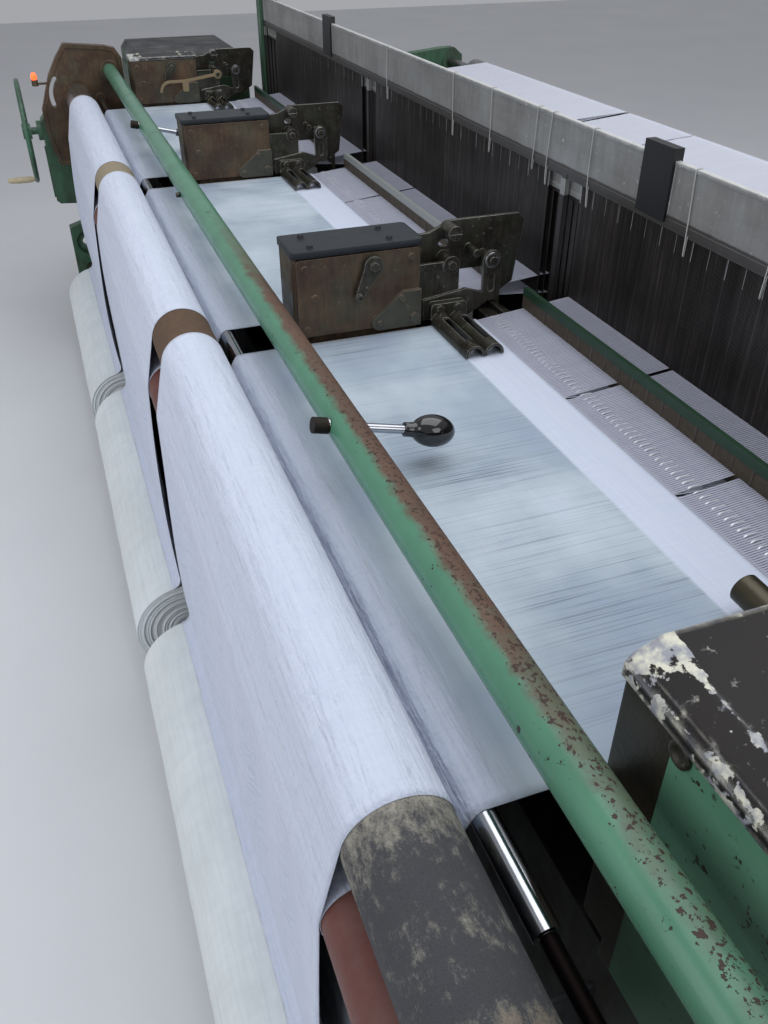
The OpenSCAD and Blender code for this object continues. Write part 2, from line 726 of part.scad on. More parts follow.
// The left unit also has a cast hook lever over the cloth, clamped on a long pin
module unit_d_fittings() {
    x = unit_x[3] + 90;
    pin_y = unit_y1 + 72;
    pin_z = cloth_z + 110;
    unit_fittings(unit_x[3]);
    color("tan") {
        profile(x, x + 9) {
            polygon(strip(concat(arc(unit_y1 - 121, cloth_z + 54, 38, 178, 90, 8),
                [[unit_y1 - 60, cloth_z + 92], [pin_y, pin_z]]), 10));
            rounded(unit_y1 - 72, unit_y1 - 48, cloth_z + 54, cloth_z + 96, 5);
            translate([pin_y, pin_z]) circle(r = 16, $fn = smooth);
        }
        rod_x(8, unit_x[3] + 30, x + 14, pin_y, pin_z);
    }
}

// Small crank lever with a pin, on the side plate of a box unit
module unit_lever(x) {
    tip_y = lever_y - lever_lean;
    tip_z = lever_z - lever_len;
    color("dimgray") {
        rod_x(lever_hub_r, x + 0.3, x + 14, lever_y, lever_z);
        bolt_x(9, x + 13, x + 20, lever_y, lever_z);
        profile(x + 7, x + 14) {
            polygon([[lever_y - lever_hub_r + 1, lever_z + 2], [tip_y - 7, tip_z + 4], [tip_y + 7, tip_z - 4],
                [lever_y + lever_hub_r - 2, lever_z - 6]]);
            translate([tip_y, tip_z]) circle(r = 8, $fn = 32);
        }
        rod_x(6, x + 8, x + 20, tip_y, tip_z);
    }
}

module unit_b_lever() {
    unit_lever(unit_x[1] + unit_w / 2);
}

module unit_d_lever() {
    unit_lever(unit_x[3] + unit_w / 2);
}

// Closed housing of the take-up gears in front of the left side frame
module takeup_gearbox() {
    x0 = -side_out - 40;
    back = girder_y0 - 110.2;
    color("darkseagreen") difference() {
        union() {
            profile(x0, -bracket_x - 4) polygon([[take_y - 158, wheel_z - 303], [back, wheel_z - 320],
                [back, wheel_z + 56], [take_y - 158, wheel_z + 56], [gearbox_y0, wheel_z + 40],
                [gearbox_y0, wheel_z - 290]]);
            facing(gearbox_y0 - 6, gearbox_y0 + 1)
                rounded(x0 + 10, -bracket_x - 14, wheel_z - 280, wheel_z - 70, 20);
            rod_y(40, wheel_x, gearbox_y0 - 20, gearbox_y0 + 1, wheel_z);
        }
        rod_y(wheel_shaft_r + fit, wheel_x, gearbox_y0 - 30, gearbox_y0 + 60, wheel_z);
    }
}

module handwheel() {
    color("seagreen") {
        translate([wheel_x, wheel_y, wheel_z]) rotate([90, 0, 0]) {
            rotate_extrude($fn = smooth) translate([wheel_r, 0]) circle(r = rim_r, $fn = 20);
            for (a = [30, 150, 270]) rotate([0, 0, a]) translate([20, -11, -6]) cube([wheel_r - 24, 22, 12]);
            cylinder(r = 32, h = 36, center = true, $fn = smooth);
        }
        rod_y(wheel_shaft_r, wheel_x, wheel_y, gearbox_y0 + 55, wheel_z);
    }
}

// Turned grip that stands on the rim of the handwheel
module handwheel_grip() {
    foot = wheel_y - rim_r - 0.5;
    grip_len = foot - grip_y;
    color("ivory") translate([wheel_x, foot, wheel_z - wheel_r]) rotate([90, 0, 0])
        rotate_extrude($fn = 40) polygon([[0, 0], [9, 0], [13, grip_len * 0.18], [13.5, grip_len * 0.6],
            [11, grip_len * 0.88], [7, grip_len], [0, grip_len]]);
}

// Long tube that starts and stops the machine from any place along the front
module start_tube() {
    color("mediumseagreen") difference() {
        rod_x(tube_r, -side_x + 6, side_out + 130, tube_y, tube_z);
        rod_x(tube_r - 4, -side_x + 5, side_out + 131, tube_y, tube_z);
        for (x = [handle_x1, handle_x2]) translate([x, tube_y, tube_z]) rotate([90 - handle_drop, 0, 0])
            cylinder(r = rod_r, h = 3 * tube_r, center = true, $fn = smooth);
    }
}

// Rod through the tube, with a round nut on its front side
module handle_rods() {
    color("silver") for (x = [handle_x1, handle_x2]) translate([x, tube_y, tube_z])
        rotate([-90 - handle_drop, 0, 0]) {
            translate([0, 0, -tube_r - 20]) cylinder(r = rod_r, h = handle_len + tube_r - 39, $fn = smooth);
            translate([0, 0, -tube_r - 24]) cylinder(r = rod_r + 5, h = 23.6, $fn = smooth);
        }
}

module handle_knobs() {
    color("black") for (x = [handle_x1, handle_x2]) translate([x, tube_y, tube_z])
        rotate([-90 - handle_drop, 0, 0]) translate([0, 0, handle_len - 84]) rotate_extrude($fn = 48)
            polygon(concat([[rod_r, 0], [11, 0]], [for (i = [0:12]) let (a = -62 + i * 12.5)
                [25 * cos(a), 48 + 36 * sin(a)]], [[0, 84], [0, 38], [rod_r, 38]]));
}

// Steel drum under emery strip, with a turned collar at its left end
module takeup_roller() {
    x0 = collar_len - roller_end;
    x1 = roller_end - 10;
    color("dimgray") {
        difference() {
            rod_x(take_r, x0, x1, take_y, take_z);
            rod_x(take_r - 10, x0 + 20, x1 - 20, take_y, take_z);
        }
        rod_x(take_r - 3, -roller_end, x0 + 1, take_y, take_z);
        rod_x(journal_r, -bracket_x, bracket_x, take_y, take_z);
    }
}

module press_roller() {
    color("firebrick") {
        rod_x(press_r, -cloth_edge - 50, cloth_edge + 160, press_y, press_z);
        rod_x(press_journal_r, -bracket_x, bracket_x, press_y, press_z);
    }
}

module cloth_shaft() {
    color("gray") rod_x(roll_shaft_r, -side_out, side_out, roll_y, roll_z);
}

// Rolled cloth on its tube
module cloth_roll(x) {
    color("aliceblue") difference() {
        union() {
            rod_x(roll_r, x - panel_w / 2, x + panel_w / 2, roll_y, roll_z);
            rod_x(roll_core_r, x - panel_w / 2 - 14, x + panel_w / 2 + 14, roll_y, roll_z);
        }
        rod_x(roll_shaft_r, x - panel_w, x + panel_w, roll_y, roll_z);
    }
}

module cloth_roll_right() {
    cloth_roll(panel_x[0]);
}

module cloth_roll_middle() {
    cloth_roll(panel_x[1]);
}

module cloth_roll_left() {
    cloth_roll(panel_x[2]);
}

module sley_shaft() {
    color("gray") rod_x(sley_r, 20 - side_x, side_x - 20, sley_y, sley_z);
}

// Sley beam on clamped arms, with a front ledge for the guide teeth and a clamp for the reeds
module sley_beam() {
    y0 = beam_mid_y - beam_half_y;
    y1 = beam_mid_y + beam_half_y;
    z0 = beat_top - beat_h;
    color("dimgray") {
        difference() {
            block(-sley_half, sley_half, y0, y1, z0, beat_top);
            block(-sley_half - 1, sley_half + 1, y0 + 8, y1 - 8, z0 + 8, beat_top - 8);
        }
        block(-sley_half, sley_half, fell_y + 14, y0 + 1, rack_z - 12, rack_z);
        block(-sley_half, sley_half, reed_y - 8, reed_y, beat_top - 1, beat_top + 14);
        for (x = sley_arms) difference() {
            union() {
                profile(x - 15, x + 15) polygon([[sley_y - 34, sley_z + 20], [y0, z0 + 1],
                    [y1, z0 + 1], [sley_y + 34, sley_z + 20]]);
                rod_x(sley_r + 18, x - 22, x + 22, sley_y, sley_z);
            }
            rod_x(sley_r, x - 30, x + 30, sley_y, sley_z);
            rod_x(14, x - 16, x + 16, (sley_y + beam_mid_y) / 2, (sley_z + sley_r + 18 + z0) / 2);
        }
    }
}

// Hooked teeth that guide the projectile through the shed
module guide_teeth() {
    y = fell_y + 21;
    z = cloth_z + 5;
    color("silver") for (p = panel_x) {
        block(p - panel_w / 2 + 4, p + panel_w / 2 - 4, y - 6, y + 34, rack_z, rack_z + 10);
        for (i = [0:warp_groups]) let (x = p + (i - warp_groups / 2) * lane)
            profile(x - 2.5, x + 2.5) polygon([[y, rack_z + 9], [y + 1, z - 7], [y + 8, z], [y + 22, z],
                [y + 29, z - 4], [y + 29, z - 8.5], [y + 14, z - 8.5], [y + 14, z - 20], [y + 28, z - 20],
                [y + 32, z - 27], [y + 32, rack_z + 9]]);
    }
}

// One reed for each cloth: baulk, dents and stiff top rib
module reeds() {
    color("darkgreen") for (p = panel_x) {
        difference() {
            block(p - panel_w / 2 + 2, p + panel_w / 2 - 2, reed_y, reed_y + reed_t, beat_top, rib_z + rib_h);
            for (i = [0:warp_groups - 1]) let (x = p + (i + 0.5 - warp_groups / 2) * lane)
                block(x - lane / 2 + dent_w / 2, x + lane / 2 - dent_w / 2, reed_y - 1, reed_y + reed_t + 1,
                    beat_top + 16, rib_z);
        }
    }
}

// Heald frame: two hollow-faced rails with heald bars, end and middle stays, and healds whose
// eyes hold the warp
module heald_frame(n, lift) {
    y0 = heald_y + (n - 1) * heald_pitch;
    eye = cloth_mid + lift;
    rails = [eye + heald_reach, eye - heald_reach - rail_h];
    stays = [-heald_half, unit_x[2] - 8, unit_x[1] - 8, heald_half - 16];
    color("gainsboro") {
        for (z = rails) difference() {
            block(-heald_half, heald_half, y0, y0 + heald_t, z, z + rail_h);
            block(30 - heald_half, heald_half - 30, y0 - 1, y0 + 1.5, z + 9, z + rail_h - 7);
        }
        for (z = [eye + heald_reach - 8, eye - heald_reach - 1])
            block(-heald_half, heald_half, y0 + 2, y0 + heald_t - 2, z, z + 9);
        for (x = stays) block(x, x + 16, y0, y0 + heald_t, eye - heald_reach - 1, eye + heald_reach + 1);
    }
    color("dimgray") for (p = panel_x, i = [0:warp_groups])
        let (x = p + (i - warp_groups / 2) * lane)
            block(x - 1.5, x + 1.5, y0 + heald_t / 2 - 1, y0 + heald_t / 2 + 1,
                eye - heald_reach - 1, eye + heald_reach + 1);
}

// The front frame also has two saddles over its top rail, one behind a quarter of each outer cloth
module heald_frame_1() {
    top = cloth_mid + shed_half + heald_reach + rail_h;
    y1 = heald_y + heald_t;
    heald_frame(1, shed_half);
    color("black") for (x = [0.752 * panel_pitch, -0.831 * panel_pitch]) difference() {
        block(x - 42, x + 42, heald_y - 6, y1 + 3, top - rail_h + 3, top + 20);
        block(x - 50, x + 50, heald_y + 2, y1 - 1, top - rail_h, top - 1);
        block(x - 50, x + 50, y1, y1 + 10, top - rail_h, top - 16);
    }
}

module heald_frame_2() {
    heald_frame(2, -shed_half);
}

module heald_frame_3() {
    heald_frame(3, -shed_half);
}

module heald_frame_4() {
    heald_frame(4, -shed_half);
}

// Slotted posts that guide the ends of the heald frames
module harness_posts() {
    slide = 0.3;
    y0 = heald_y - 12;
    y1 = heald_y + 4 * heald_pitch + 8;
    z0 = girder_z0 + 80;
    z1 = cloth_z + 366;
    post_x = heald_half + 50;
    color("darkseagreen") for (s = [-1, 1]) scale([s, 1, 1]) {
        difference() {
            block(heald_half - 8, post_x, y0, y1, z0, z1);
            for (n = [0:3]) let (y = heald_y + n * heald_pitch)
                block(heald_half - 9, heald_half + slide, y - slide, y + heald_t + slide, z0 - 1, z1 + 1);
        }
        block(post_x - 1, side_x, y0, y1, sley_z - 100, sley_z - 20);
        facing(y0, y1) polygon([[post_x - 1, sley_z - 21], [side_x, sley_z - 21],
            [post_x - 1, sley_z + 110]]);
    }
}

// Groups of warp ends side by side; every second lane belongs to the other sheet
module warp_strips(half, y0, z0, y1, z1) {
    color("lavender") for (p = panel_x, i = [half:2:warp_groups - 1])
        let (x = p + (i + 0.5 - warp_groups / 2) * lane)
            profile(x - lane_w / 2, x + lane_w / 2) polygon(strip([[y0, z0], [y1, z1]], warp_t));
}

module warp_upper_front() {
    warp_strips(0, fell_y, cloth_mid, eye_front, cloth_mid + shed_half);
}

module warp_lower_front() {
    warp_strips(1, fell_y, cloth_mid, eye_back, cloth_mid - shed_half);
}

module warp_upper_rear() {
    warp_strips(0, eye_front + hinge_gap, cloth_mid + shed_half, rest_y, rest_crest);
}

module warp_lower_rear() {
    warp_strips(1, eye_back + lift_gap, cloth_mid - shed_half, rest_y, rest_crest);
}

module warp_back_sheet() {
    color("lavender") for (p = panel_x) profile(p - panel_w / 2 + 6, p + panel_w / 2 - 6)
        polygon(strip(back_path, warp_t));
}

// Electric warp stop motion: rails across the machine with drop wires between the ends
module stop_motion() {
    rails = [for (i = [0:wire_rails - 1]) wire_y + i * wire_pitch];
    last = rails[wire_rails - 1];
    color("dimgray") {
        for (y = rails) block(-side_x, side_x, y - 3, y + 3, cloth_z - 16, cloth_z + 8);
        for (x = [-cloth_edge - 50, cloth_edge + 40])
            block(x, x + 10, wire_y - wire_reach, last + wire_reach, cloth_z - 24, cloth_z + 76);
        for (p = panel_x, i = [0:2:warp_groups], y = [wire_y, wire_y + 2 * wire_pitch])
            let (x = p + (i - warp_groups / 2) * lane)
                block(x - 1.5, x + 1.5, y - 8, y + 8, cloth_z - 39, cloth_z + 72);
    }
}

module back_rest() {
    rest_x = cloth_edge + 110;
    color("gray") {
        difference() {
            rod_x(rest_r, -rest_x, rest_x, rest_y, rest_z);
            rod_x(rest_r - 8, 20 - rest_x, rest_x - 20, rest_y, rest_z);
        }
        rod_x(journal_r, -side_out, 21 - rest_x, rest_y, rest_z);
        rod_x(journal_r, rest_x - 21, side_out, rest_y, rest_z);
    }
}

// Beam barrel with ribbed and rimmed flanges
module warp_beam() {
    color("steelblue") {
        difference() {
            rod_x(barrel_r, -flange_x, flange_x, beam_y, beam_z);
            rod_x(barrel_r - 10, 5 - flange_x, flange_x - 5, beam_y, beam_z);
        }
        for (s = [-1, 1]) scale([s, 1, 1]) {
            difference() {
                rod_x(flange_r, flange_x, flange_x + flange_t + 10, beam_y, beam_z);
                rod_x(flange_r - 14, flange_x + flange_t, flange_x + flange_t + 11, beam_y, beam_z);
            }
            for (a = [0:45:315]) translate([0, beam_y, beam_z]) rotate([a, 0, 0])
                block(flange_x + flange_t - 1, flange_x + flange_t + 9, -5, 5, 90, flange_r - 10);
            rod_x(beam_journal_r, flange_x, side_out, beam_y, beam_z);
        }
    }
}

module warp_pack() {
    color("lavender") difference() {
        rod_x(pack_r, cloth_gap - flange_x, flange_x - cloth_gap, beam_y, beam_z);
        rod_x(barrel_r, -flange_x, flange_x, beam_y, beam_z);
    }
}

// Involute gear outline of pitch radius module * teeth / 2
function inv(a) = tan(a) * 180 / PI - a;
function tooth_half(r, rp, n) = let (rb = rp * cos(20), a = r > rb ? acos(rb / r) : 0)
    90 / n - backlash / rp / 4 * 180 / PI + inv(20) - inv(a);
function gear_outline(n, m) = let (rp = n * m / 2, steps = [rp - m, rp - 0.3 * m, rp + 0.35 * m, rp + 0.95 * m])
    [for (k = [0:n - 1]) let (c = k * 360 / n) for (j = [0:9])
        let (r = j == 0 || j == 9 ? rp - 1.25 * m : steps[j < 5 ? j - 1 : 8 - j],
            w = tooth_half(max(r, rp - m), rp, n), s = j < 5 ? -1 : 1)
            r * [cos(c + s * w), sin(c + s * w)]];

module beam_gear() {
    hub_end = gear_x + gear_w + 10;
    web_r = (gear_r + 70) / 2 - 10;
    color("gray") difference() {
        union() {
            translate([0, beam_y, beam_z]) profile(gear_x, gear_x + gear_w)
                polygon(gear_outline(gear_teeth, gear_module));
            rod_x(70, flange_x + flange_t, hub_end, beam_y, beam_z);
        }
        rod_x(beam_journal_r, flange_x, hub_end + 10, beam_y, beam_z);
        for (a = [0:60:300]) rod_x(38, gear_x - 1, gear_x + gear_w + 1,
            beam_y + web_r * cos(a), beam_z + web_r * sin(a));
    }
}

module letoff_pinion() {
    color("gray") {
        translate([0, pinion_y, beam_z]) profile(gear_x - 5, gear_x + gear_w + 5) rotate(180 / pinion_teeth)
            polygon(gear_outline(pinion_teeth, gear_module));
        rod_x(pinion_shaft_r, gear_x + gear_w, letoff_x + 70, pinion_y, beam_z);
    }
}

// Let-off gearbox on the inner face of the right side frame
module letoff_gearbox() {
    color("darkseagreen") difference() {
        union() {
            profile(letoff_x, side_x) rounded(pinion_y - 90, pinion_y + 90, beam_z - 120, beam_z + 110, 24);
            rod_x(pinion_shaft_r + 18, letoff_x - 14, letoff_x + 1, pinion_y, beam_z);
            for (y = [-70, 70], z = [-98, 88]) bolt_x(9, letoff_x - 6, letoff_x + 1, pinion_y + y, beam_z + z);
            rod_z(26, (letoff_x + side_x) / 2, pinion_y, beam_z + 109, beam_z + 134);
        }
        rod_x(pinion_shaft_r + fit, letoff_x - 20, letoff_x + 75, pinion_y, beam_z);
    }
}

// Picking unit and main drive housing at the left end
module picking_housing() {
    x0 = -half_len + 140;
    x1 = unit_x[3] - 100;
    y0 = girder_y0 + 20;
    y1 = receiver_y1 + 12;
    top = cloth_z + 156;
    color("mediumseagreen") difference() {
        union() {
            profile(x0, x1) polygon([[y0, receiver_foot], [y0, top - 30], [y0 + 24, top], [y1 - 24, top],
                [y1, top - 30], [y1, sley_z + 90], [girder_y1 - 10, sley_z + 90],
                [girder_y1 - 10, receiver_foot]]);
            block(60 - side_x, x1, y0, girder_y1 - 10, girder_z1, receiver_foot + 1);
            block(x0, -side_out, y0, y1, girder_z0 - 100, receiver_foot + 1);
            facing(y0 - 7, y0 + 1) rounded(x0 + 40, -side_out - 20, girder_z0 - 60, top - 70, 24);
            rod_x(shaft_r + 30, x0 - 12, x0 + 1, brake_y, brake_z);
        }
        rod_x(shaft_r + fit, x0 - 13, x0 + 80, brake_y, brake_z);
    }
}

// Section of a grooved pulley from its axis out: hub, web and rim
function pulley_section(r, hub, web) = concat([[0, 0], [hub, 0], [hub, web], [r - 35, web], [r - 35, 0]],
    [for (i = [0:belts - 1]) let (c = 18 + i * belt_pitch, h = belt_w / 2 + 0.6)
        for (p = [[r + pulley_rim, c - h - 1.6], [r, c - h], [r, c + h], [r + pulley_rim, c + h + 1.6]]) p],
    [[r + pulley_rim, pulley_w - 4], [r + pulley_rim, pulley_w], [r - 35, pulley_w],
        [r - 35, pulley_w - web], [hub, pulley_w - web], [hub, pulley_w], [0, pulley_w]]);

module brake_pulley() {
    color("gray") difference() {
        union() {
            translate([pulley_x, brake_y, brake_z]) rotate([0, 90, 0])
                rotate_extrude($fn = 96) polygon(pulley_section(brake_r, 62, 26));
            rod_x(shaft_r, -half_len, housing_x + 75, brake_y, brake_z);
        }
        for (a = [0:60:300]) rod_x(42, pulley_x - 1, pulley_x + pulley_w + 1,
            brake_y + (brake_r + 27) / 2 * cos(a), brake_z + (brake_r + 27) / 2 * sin(a));
    }
}

module motor_pulley() {
    color("gray") {
        translate([pulley_x, motor_y, motor_z]) rotate([0, 90, 0])
            rotate_extrude($fn = 72) polygon(pulley_section(motor_pulley_r, 30, 16));
        rod_x(motor_shaft_r, pulley_x, housing_x + 25, motor_y, motor_z);
    }
}

// Belts in the grooves of both pulleys
function loop(r1, r2) = let (
    a = run_angle(brake_y, brake_z, r1, 1, motor_y, motor_z, r2, 1),
    b = run_angle(motor_y, motor_z, r2, 1, brake_y, brake_z, r1, 1))
    concat(arc(motor_y, motor_z, r2, a - 90, b - 90 + (b < a ? 360 : 0), 36),
        arc(brake_y, brake_z, r1, b - 90, a - 90 + (a < b ? 360 : 0), 64));

module drive_belts() {
    color("black") for (i = [0:belts - 1]) let (x = pulley_x + 18 + i * belt_pitch)
        profile(x - belt_w / 2, x + belt_w / 2) difference() {
            polygon(loop(brake_r + cloth_gap + belt_t, motor_pulley_r + cloth_gap + belt_t));
            polygon(loop(brake_r + cloth_gap, motor_pulley_r + cloth_gap));
        }
}

// Motor on its foot plate: finned body between two end shields, and a terminal box on top
module motor() {
    x0 = housing_x + 20;
    x1 = -side_out - 10;
    color("steelblue") difference() {
        union() {
            rod_x(motor_r, x0, x1, motor_y, motor_z);
            for (x = [x0, x1 - 50]) rod_x(motor_r + 16, x, x + (x == x0 ? 18 : 50), motor_y, motor_z);
            for (a = [0:15:345]) if (a < 60 || a > 120) translate([0, motor_y, motor_z]) rotate([a - 90, 0, 0])
                block(x0 + 17, x1 - 49, -3, 3, motor_r - 8, motor_r + 14);
            rod_x(motor_shaft_r + 14, x0 - 8, x0 + 1, motor_y, motor_z);
            block(x0 + 60, x0 + 150, motor_y - 45, motor_y + 45, motor_z + motor_r - 12,
                motor_z + motor_r + 48);
            block(x0 - 10, -side_out, motor_y - 140, motor_y + 140, 0, 40);
            block(x0 + 40, x1 - 40, motor_y - 90, motor_y + 90, 39, motor_z - 60);
        }
        rod_x(motor_shaft_r + fit, x0 - 15, x0 + 40, motor_y, motor_z);
    }
}

side_frame_left();
side_frame_right();
main_girder();
rear_crossbeam();
end_bracket_left();
end_bracket_right();
front_cover();
cloth_support();
breast_bar();
fabric_right();
fabric_middle();
fabric_left();
receiver_housing();
unit_b_box();
unit_c_box();
unit_d_box();
unit_lids();
unit_b_fittings();
unit_c_fittings();
unit_d_fittings();
unit_b_lever();
unit_d_lever();
takeup_gearbox();
handwheel();
handwheel_grip();
start_tube();
handle_rods();
handle_knobs();
takeup_roller();
press_roller();
cloth_shaft();
cloth_roll_right();
cloth_roll_middle();
cloth_roll_left();
sley_shaft();
sley_beam();
guide_teeth();
reeds();
heald_frame_1();
heald_frame_2();
heald_frame_3();
heald_frame_4();
harness_posts();
warp_upper_front();
warp_lower_front();
warp_upper_rear();
warp_lower_rear();
warp_back_sheet();
stop_motion();
back_rest();
warp_beam();
warp_pack();
beam_gear();
letoff_pinion();
letoff_gearbox();
picking_housing();
brake_pulley();
motor_pulley();
drive_belts();
motor();
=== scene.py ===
"""Looks of a wide projectile weaving machine that weaves three cloths side by side.

X runs along the machine, Y from the cloth side to the warp side, Z up, all in metres.
"""
import math

import bmesh
import bpy
import numpy as np
from mathutils import Matrix, Vector


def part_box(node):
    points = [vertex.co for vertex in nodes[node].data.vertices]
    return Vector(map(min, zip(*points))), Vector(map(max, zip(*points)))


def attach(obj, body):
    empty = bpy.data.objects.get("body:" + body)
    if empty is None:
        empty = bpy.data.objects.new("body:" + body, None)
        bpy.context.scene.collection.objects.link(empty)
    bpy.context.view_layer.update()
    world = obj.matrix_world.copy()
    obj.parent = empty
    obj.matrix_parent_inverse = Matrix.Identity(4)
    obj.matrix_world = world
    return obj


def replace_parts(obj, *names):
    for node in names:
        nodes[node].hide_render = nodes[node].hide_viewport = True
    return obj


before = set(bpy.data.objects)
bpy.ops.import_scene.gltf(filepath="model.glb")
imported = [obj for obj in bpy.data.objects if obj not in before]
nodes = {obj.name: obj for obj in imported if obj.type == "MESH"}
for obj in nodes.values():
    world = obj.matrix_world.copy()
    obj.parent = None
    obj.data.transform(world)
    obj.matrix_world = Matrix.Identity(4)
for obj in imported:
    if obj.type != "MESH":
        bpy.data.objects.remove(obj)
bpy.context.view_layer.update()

# Studio: soft light from above and from the cloth side, and the camera at the right end of the
# machine, looking down along its front from above the lid of the receiving unit.
scene = bpy.context.scene
scene.view_settings.view_transform = "Standard"

world = bpy.data.worlds.new("studio_air")
scene.world = world
world.use_nodes = True
air = world.node_tree.nodes["Background"]
air.inputs["Color"].default_value = (0.93, 0.95, 1.0, 1.0)
air.inputs["Strength"].default_value = 0.40

eye = Vector((2.200, -0.986, 1.690))
ahead = Vector((-0.7652, 0.2808, -0.5793)).normalized()
right = Vector((0.3445, 0.9388, 0.0)).normalized()
up = right.cross(ahead)
camera = bpy.data.objects.new("camera", bpy.data.cameras.new("camera"))
sensor, focal_px, tall_px = 36.0, 880.0, 1024.0
camera.data.sensor_width = sensor
camera.data.lens = sensor * focal_px / tall_px
camera.data.clip_start = 0.05
camera.matrix_world = Matrix.Translation(eye) @ Matrix((right, up, -ahead)).transposed().to_4x4()
scene.collection.objects.link(camera)
scene.camera = camera


def soft_light(name, place, aim, width, power, tint=(1.0, 1.0, 1.0)):
    """A square lamp of one width at a place, turned to face another."""
    lamp = bpy.data.lights.new(name, "AREA")
    lamp.shape = "SQUARE"
    lamp.size = width
    lamp.energy = power
    lamp.color = tint
    held = bpy.data.objects.new(name, lamp)
    way = Vector(aim) - Vector(place)
    held.matrix_world = Matrix.Translation(place) @ way.to_track_quat("-Z", "Y").to_matrix().to_4x4()
    scene.collection.objects.link(held)


soft_light("ceiling_light", (0.3, 0.4, 4.6), (0.0, -0.1, 0.9), 4.5, 132.0, (0.96, 0.98, 1.0))
soft_light("front_light", (1.6, -4.2, 2.6), (0.2, -0.4, 0.8), 3.0, 58.0, (0.95, 0.97, 1.0))
soft_light("end_light", (5.0, 1.2, 2.8), (0.6, -0.2, 0.9), 2.4, 36.0)


# Floor: plain pale ground, matt and a little cloudy, that runs past the edges of the picture. It is
# part of the stage and no piece of the machine.
def feed(tree, made, links):
    """Feeds a node's inputs, each from a socket or with a plain value, and gives its outputs."""
    for name, value in links.items():
        if isinstance(value, bpy.types.NodeSocket):
            tree.links.new(value, made.inputs[name])
        else:
            made.inputs[name].default_value = value
    return made.outputs


def put(tree, kind, links=(), **settings):
    """Adds one shader node. Settings are its properties; links feed its inputs."""
    made = tree.nodes.new("ShaderNode" + kind)
    for name, value in settings.items():
        setattr(made, name, value)
    return feed(tree, made, dict(links))


def tone(red, green, blue):
    """A colour given as 0 to 255 in sRGB, turned to linear light."""
    part = np.array([red, green, blue]) / 255.0
    return (*np.where(part <= 0.04045, part / 12.92, ((part + 0.055) / 1.055) ** 2.4), 1.0)


def mix(tree, mask, under, over):
    """Lays one colour over another where the mask is 1."""
    return put(tree, "Mix", {0: mask, 6: under, 7: over}, data_type="RGBA")[2]


def noise(tree, place, scale, detail=4.0, rough=0.55, squeeze=None):
    """Cloudy values round 0.5 at a number of clouds per metre; squeeze multiplies that number
    along X, Y and Z, so a small share draws the clouds out."""
    if squeeze:
        place = put(tree, "Mapping", {"Vector": place, "Scale": squeeze})[0]
    return put(tree, "TexNoise", {"Vector": place, "Scale": scale, "Detail": detail, "Roughness": rough})[0]


def new_finish(name, rough=0.5, metal=0.0, **constants):
    """A material with one Principled shader; constants are set on the shader's own sockets."""
    finish = bpy.data.materials.new(name)
    finish.use_nodes = True
    tree = finish.node_tree
    shader = tree.nodes["Principled BSDF"]
    shader.inputs["Roughness"].default_value = rough
    shader.inputs["Metallic"].default_value = metal
    for label, value in constants.items():
        shader.inputs[label.replace("_", " ")].default_value = value
    place = put(tree, "TexCoord")["Object"]
    return finish, tree, shader.inputs, place


def wire(tree, shader, **results):
    """Links results to the shader's sockets of the same names."""
    for label, value in results.items():
        tree.links.new(value, shader[label.replace("_", " ")])


floor_mesh = bpy.data.meshes.new("floor")
reach = 14.0
floor_mesh.from_pydata([(-reach, -reach, 0), (reach, -reach, 0), (reach, reach, 0), (-reach, reach, 0)],
    [], [(0, 1, 2, 3)])
floor = bpy.data.objects.new("floor", floor_mesh)
scene.collection.objects.link(floor)
finish, tree, shader, place = new_finish("pale_floor", rough=0.85)
wire(tree, shader, Base_Color=mix(tree, noise(tree, place, 1.2), tone(206, 208, 212), tone(220, 221, 224)))
floor.data.materials.append(finish)


# Painted castings: side frames, girder, feet, harness posts and gear housings. Sand-cast iron,
# brushed with green machine paint, chipped on the edges and dulled by oil and lint.
def calc(tree, kind, *values):
    """One step of arithmetic on two or three values or sockets."""
    return put(tree, "Math", dict(enumerate(values)), operation=kind)[0]


def times(tree, one, other):
    """The product of two values."""
    return calc(tree, "MULTIPLY", one, other)


def fade(tree, value, start, stop, low=0.0, high=1.0):
    """Runs from low to high while the value goes from start to stop, and is flat outside."""
    return put(tree, "MapRange", {0: value, 1: start, 2: stop, 3: low, 4: high})[0]


def new_group(name, takes, gives):
    """A shader node group with named sockets, and its inlet and outlet."""
    tree = bpy.data.node_groups.new(name, "ShaderNodeTree")
    for label, kind, start in takes:
        socket = tree.interface.new_socket(label, in_out="INPUT", socket_type="NodeSocket" + kind)
        if start is not None:
            socket.default_value = start
    for label, kind in gives:
        tree.interface.new_socket(label, in_out="OUTPUT", socket_type="NodeSocket" + kind)
    return tree, tree.nodes.new("NodeGroupInput").outputs, tree.nodes.new("NodeGroupOutput")


def use_group(tree, kit, **links):
    """Places a node group in a material with its own values."""
    made = tree.nodes.new("ShaderNodeGroup")
    made.node_tree = kit
    return feed(tree, made, links)


def patches(tree, kit, place, scale, amount):
    """The mask of a kit of chips or grime at a place."""
    return use_group(tree, kit, Vector=place, Scale=scale, Amount=amount)["Mask"]


def bump(tree, height, depth, normal=None):
    """A surface raised by a height of 0 to 1 times a depth in metres."""
    links = {"Height": height, "Distance": depth, "Strength": 1.0}
    if normal is not None:
        links["Normal"] = normal
    return put(tree, "Bump", links)[0]


def paint_node(names, finish):
    """Gives CAD nodes a finish in all their material slots."""
    for name in names.split():
        mesh = nodes[name].data
        if not mesh.materials:
            mesh.materials.append(finish)
        for k in range(len(mesh.materials)):
            mesh.materials[k] = finish


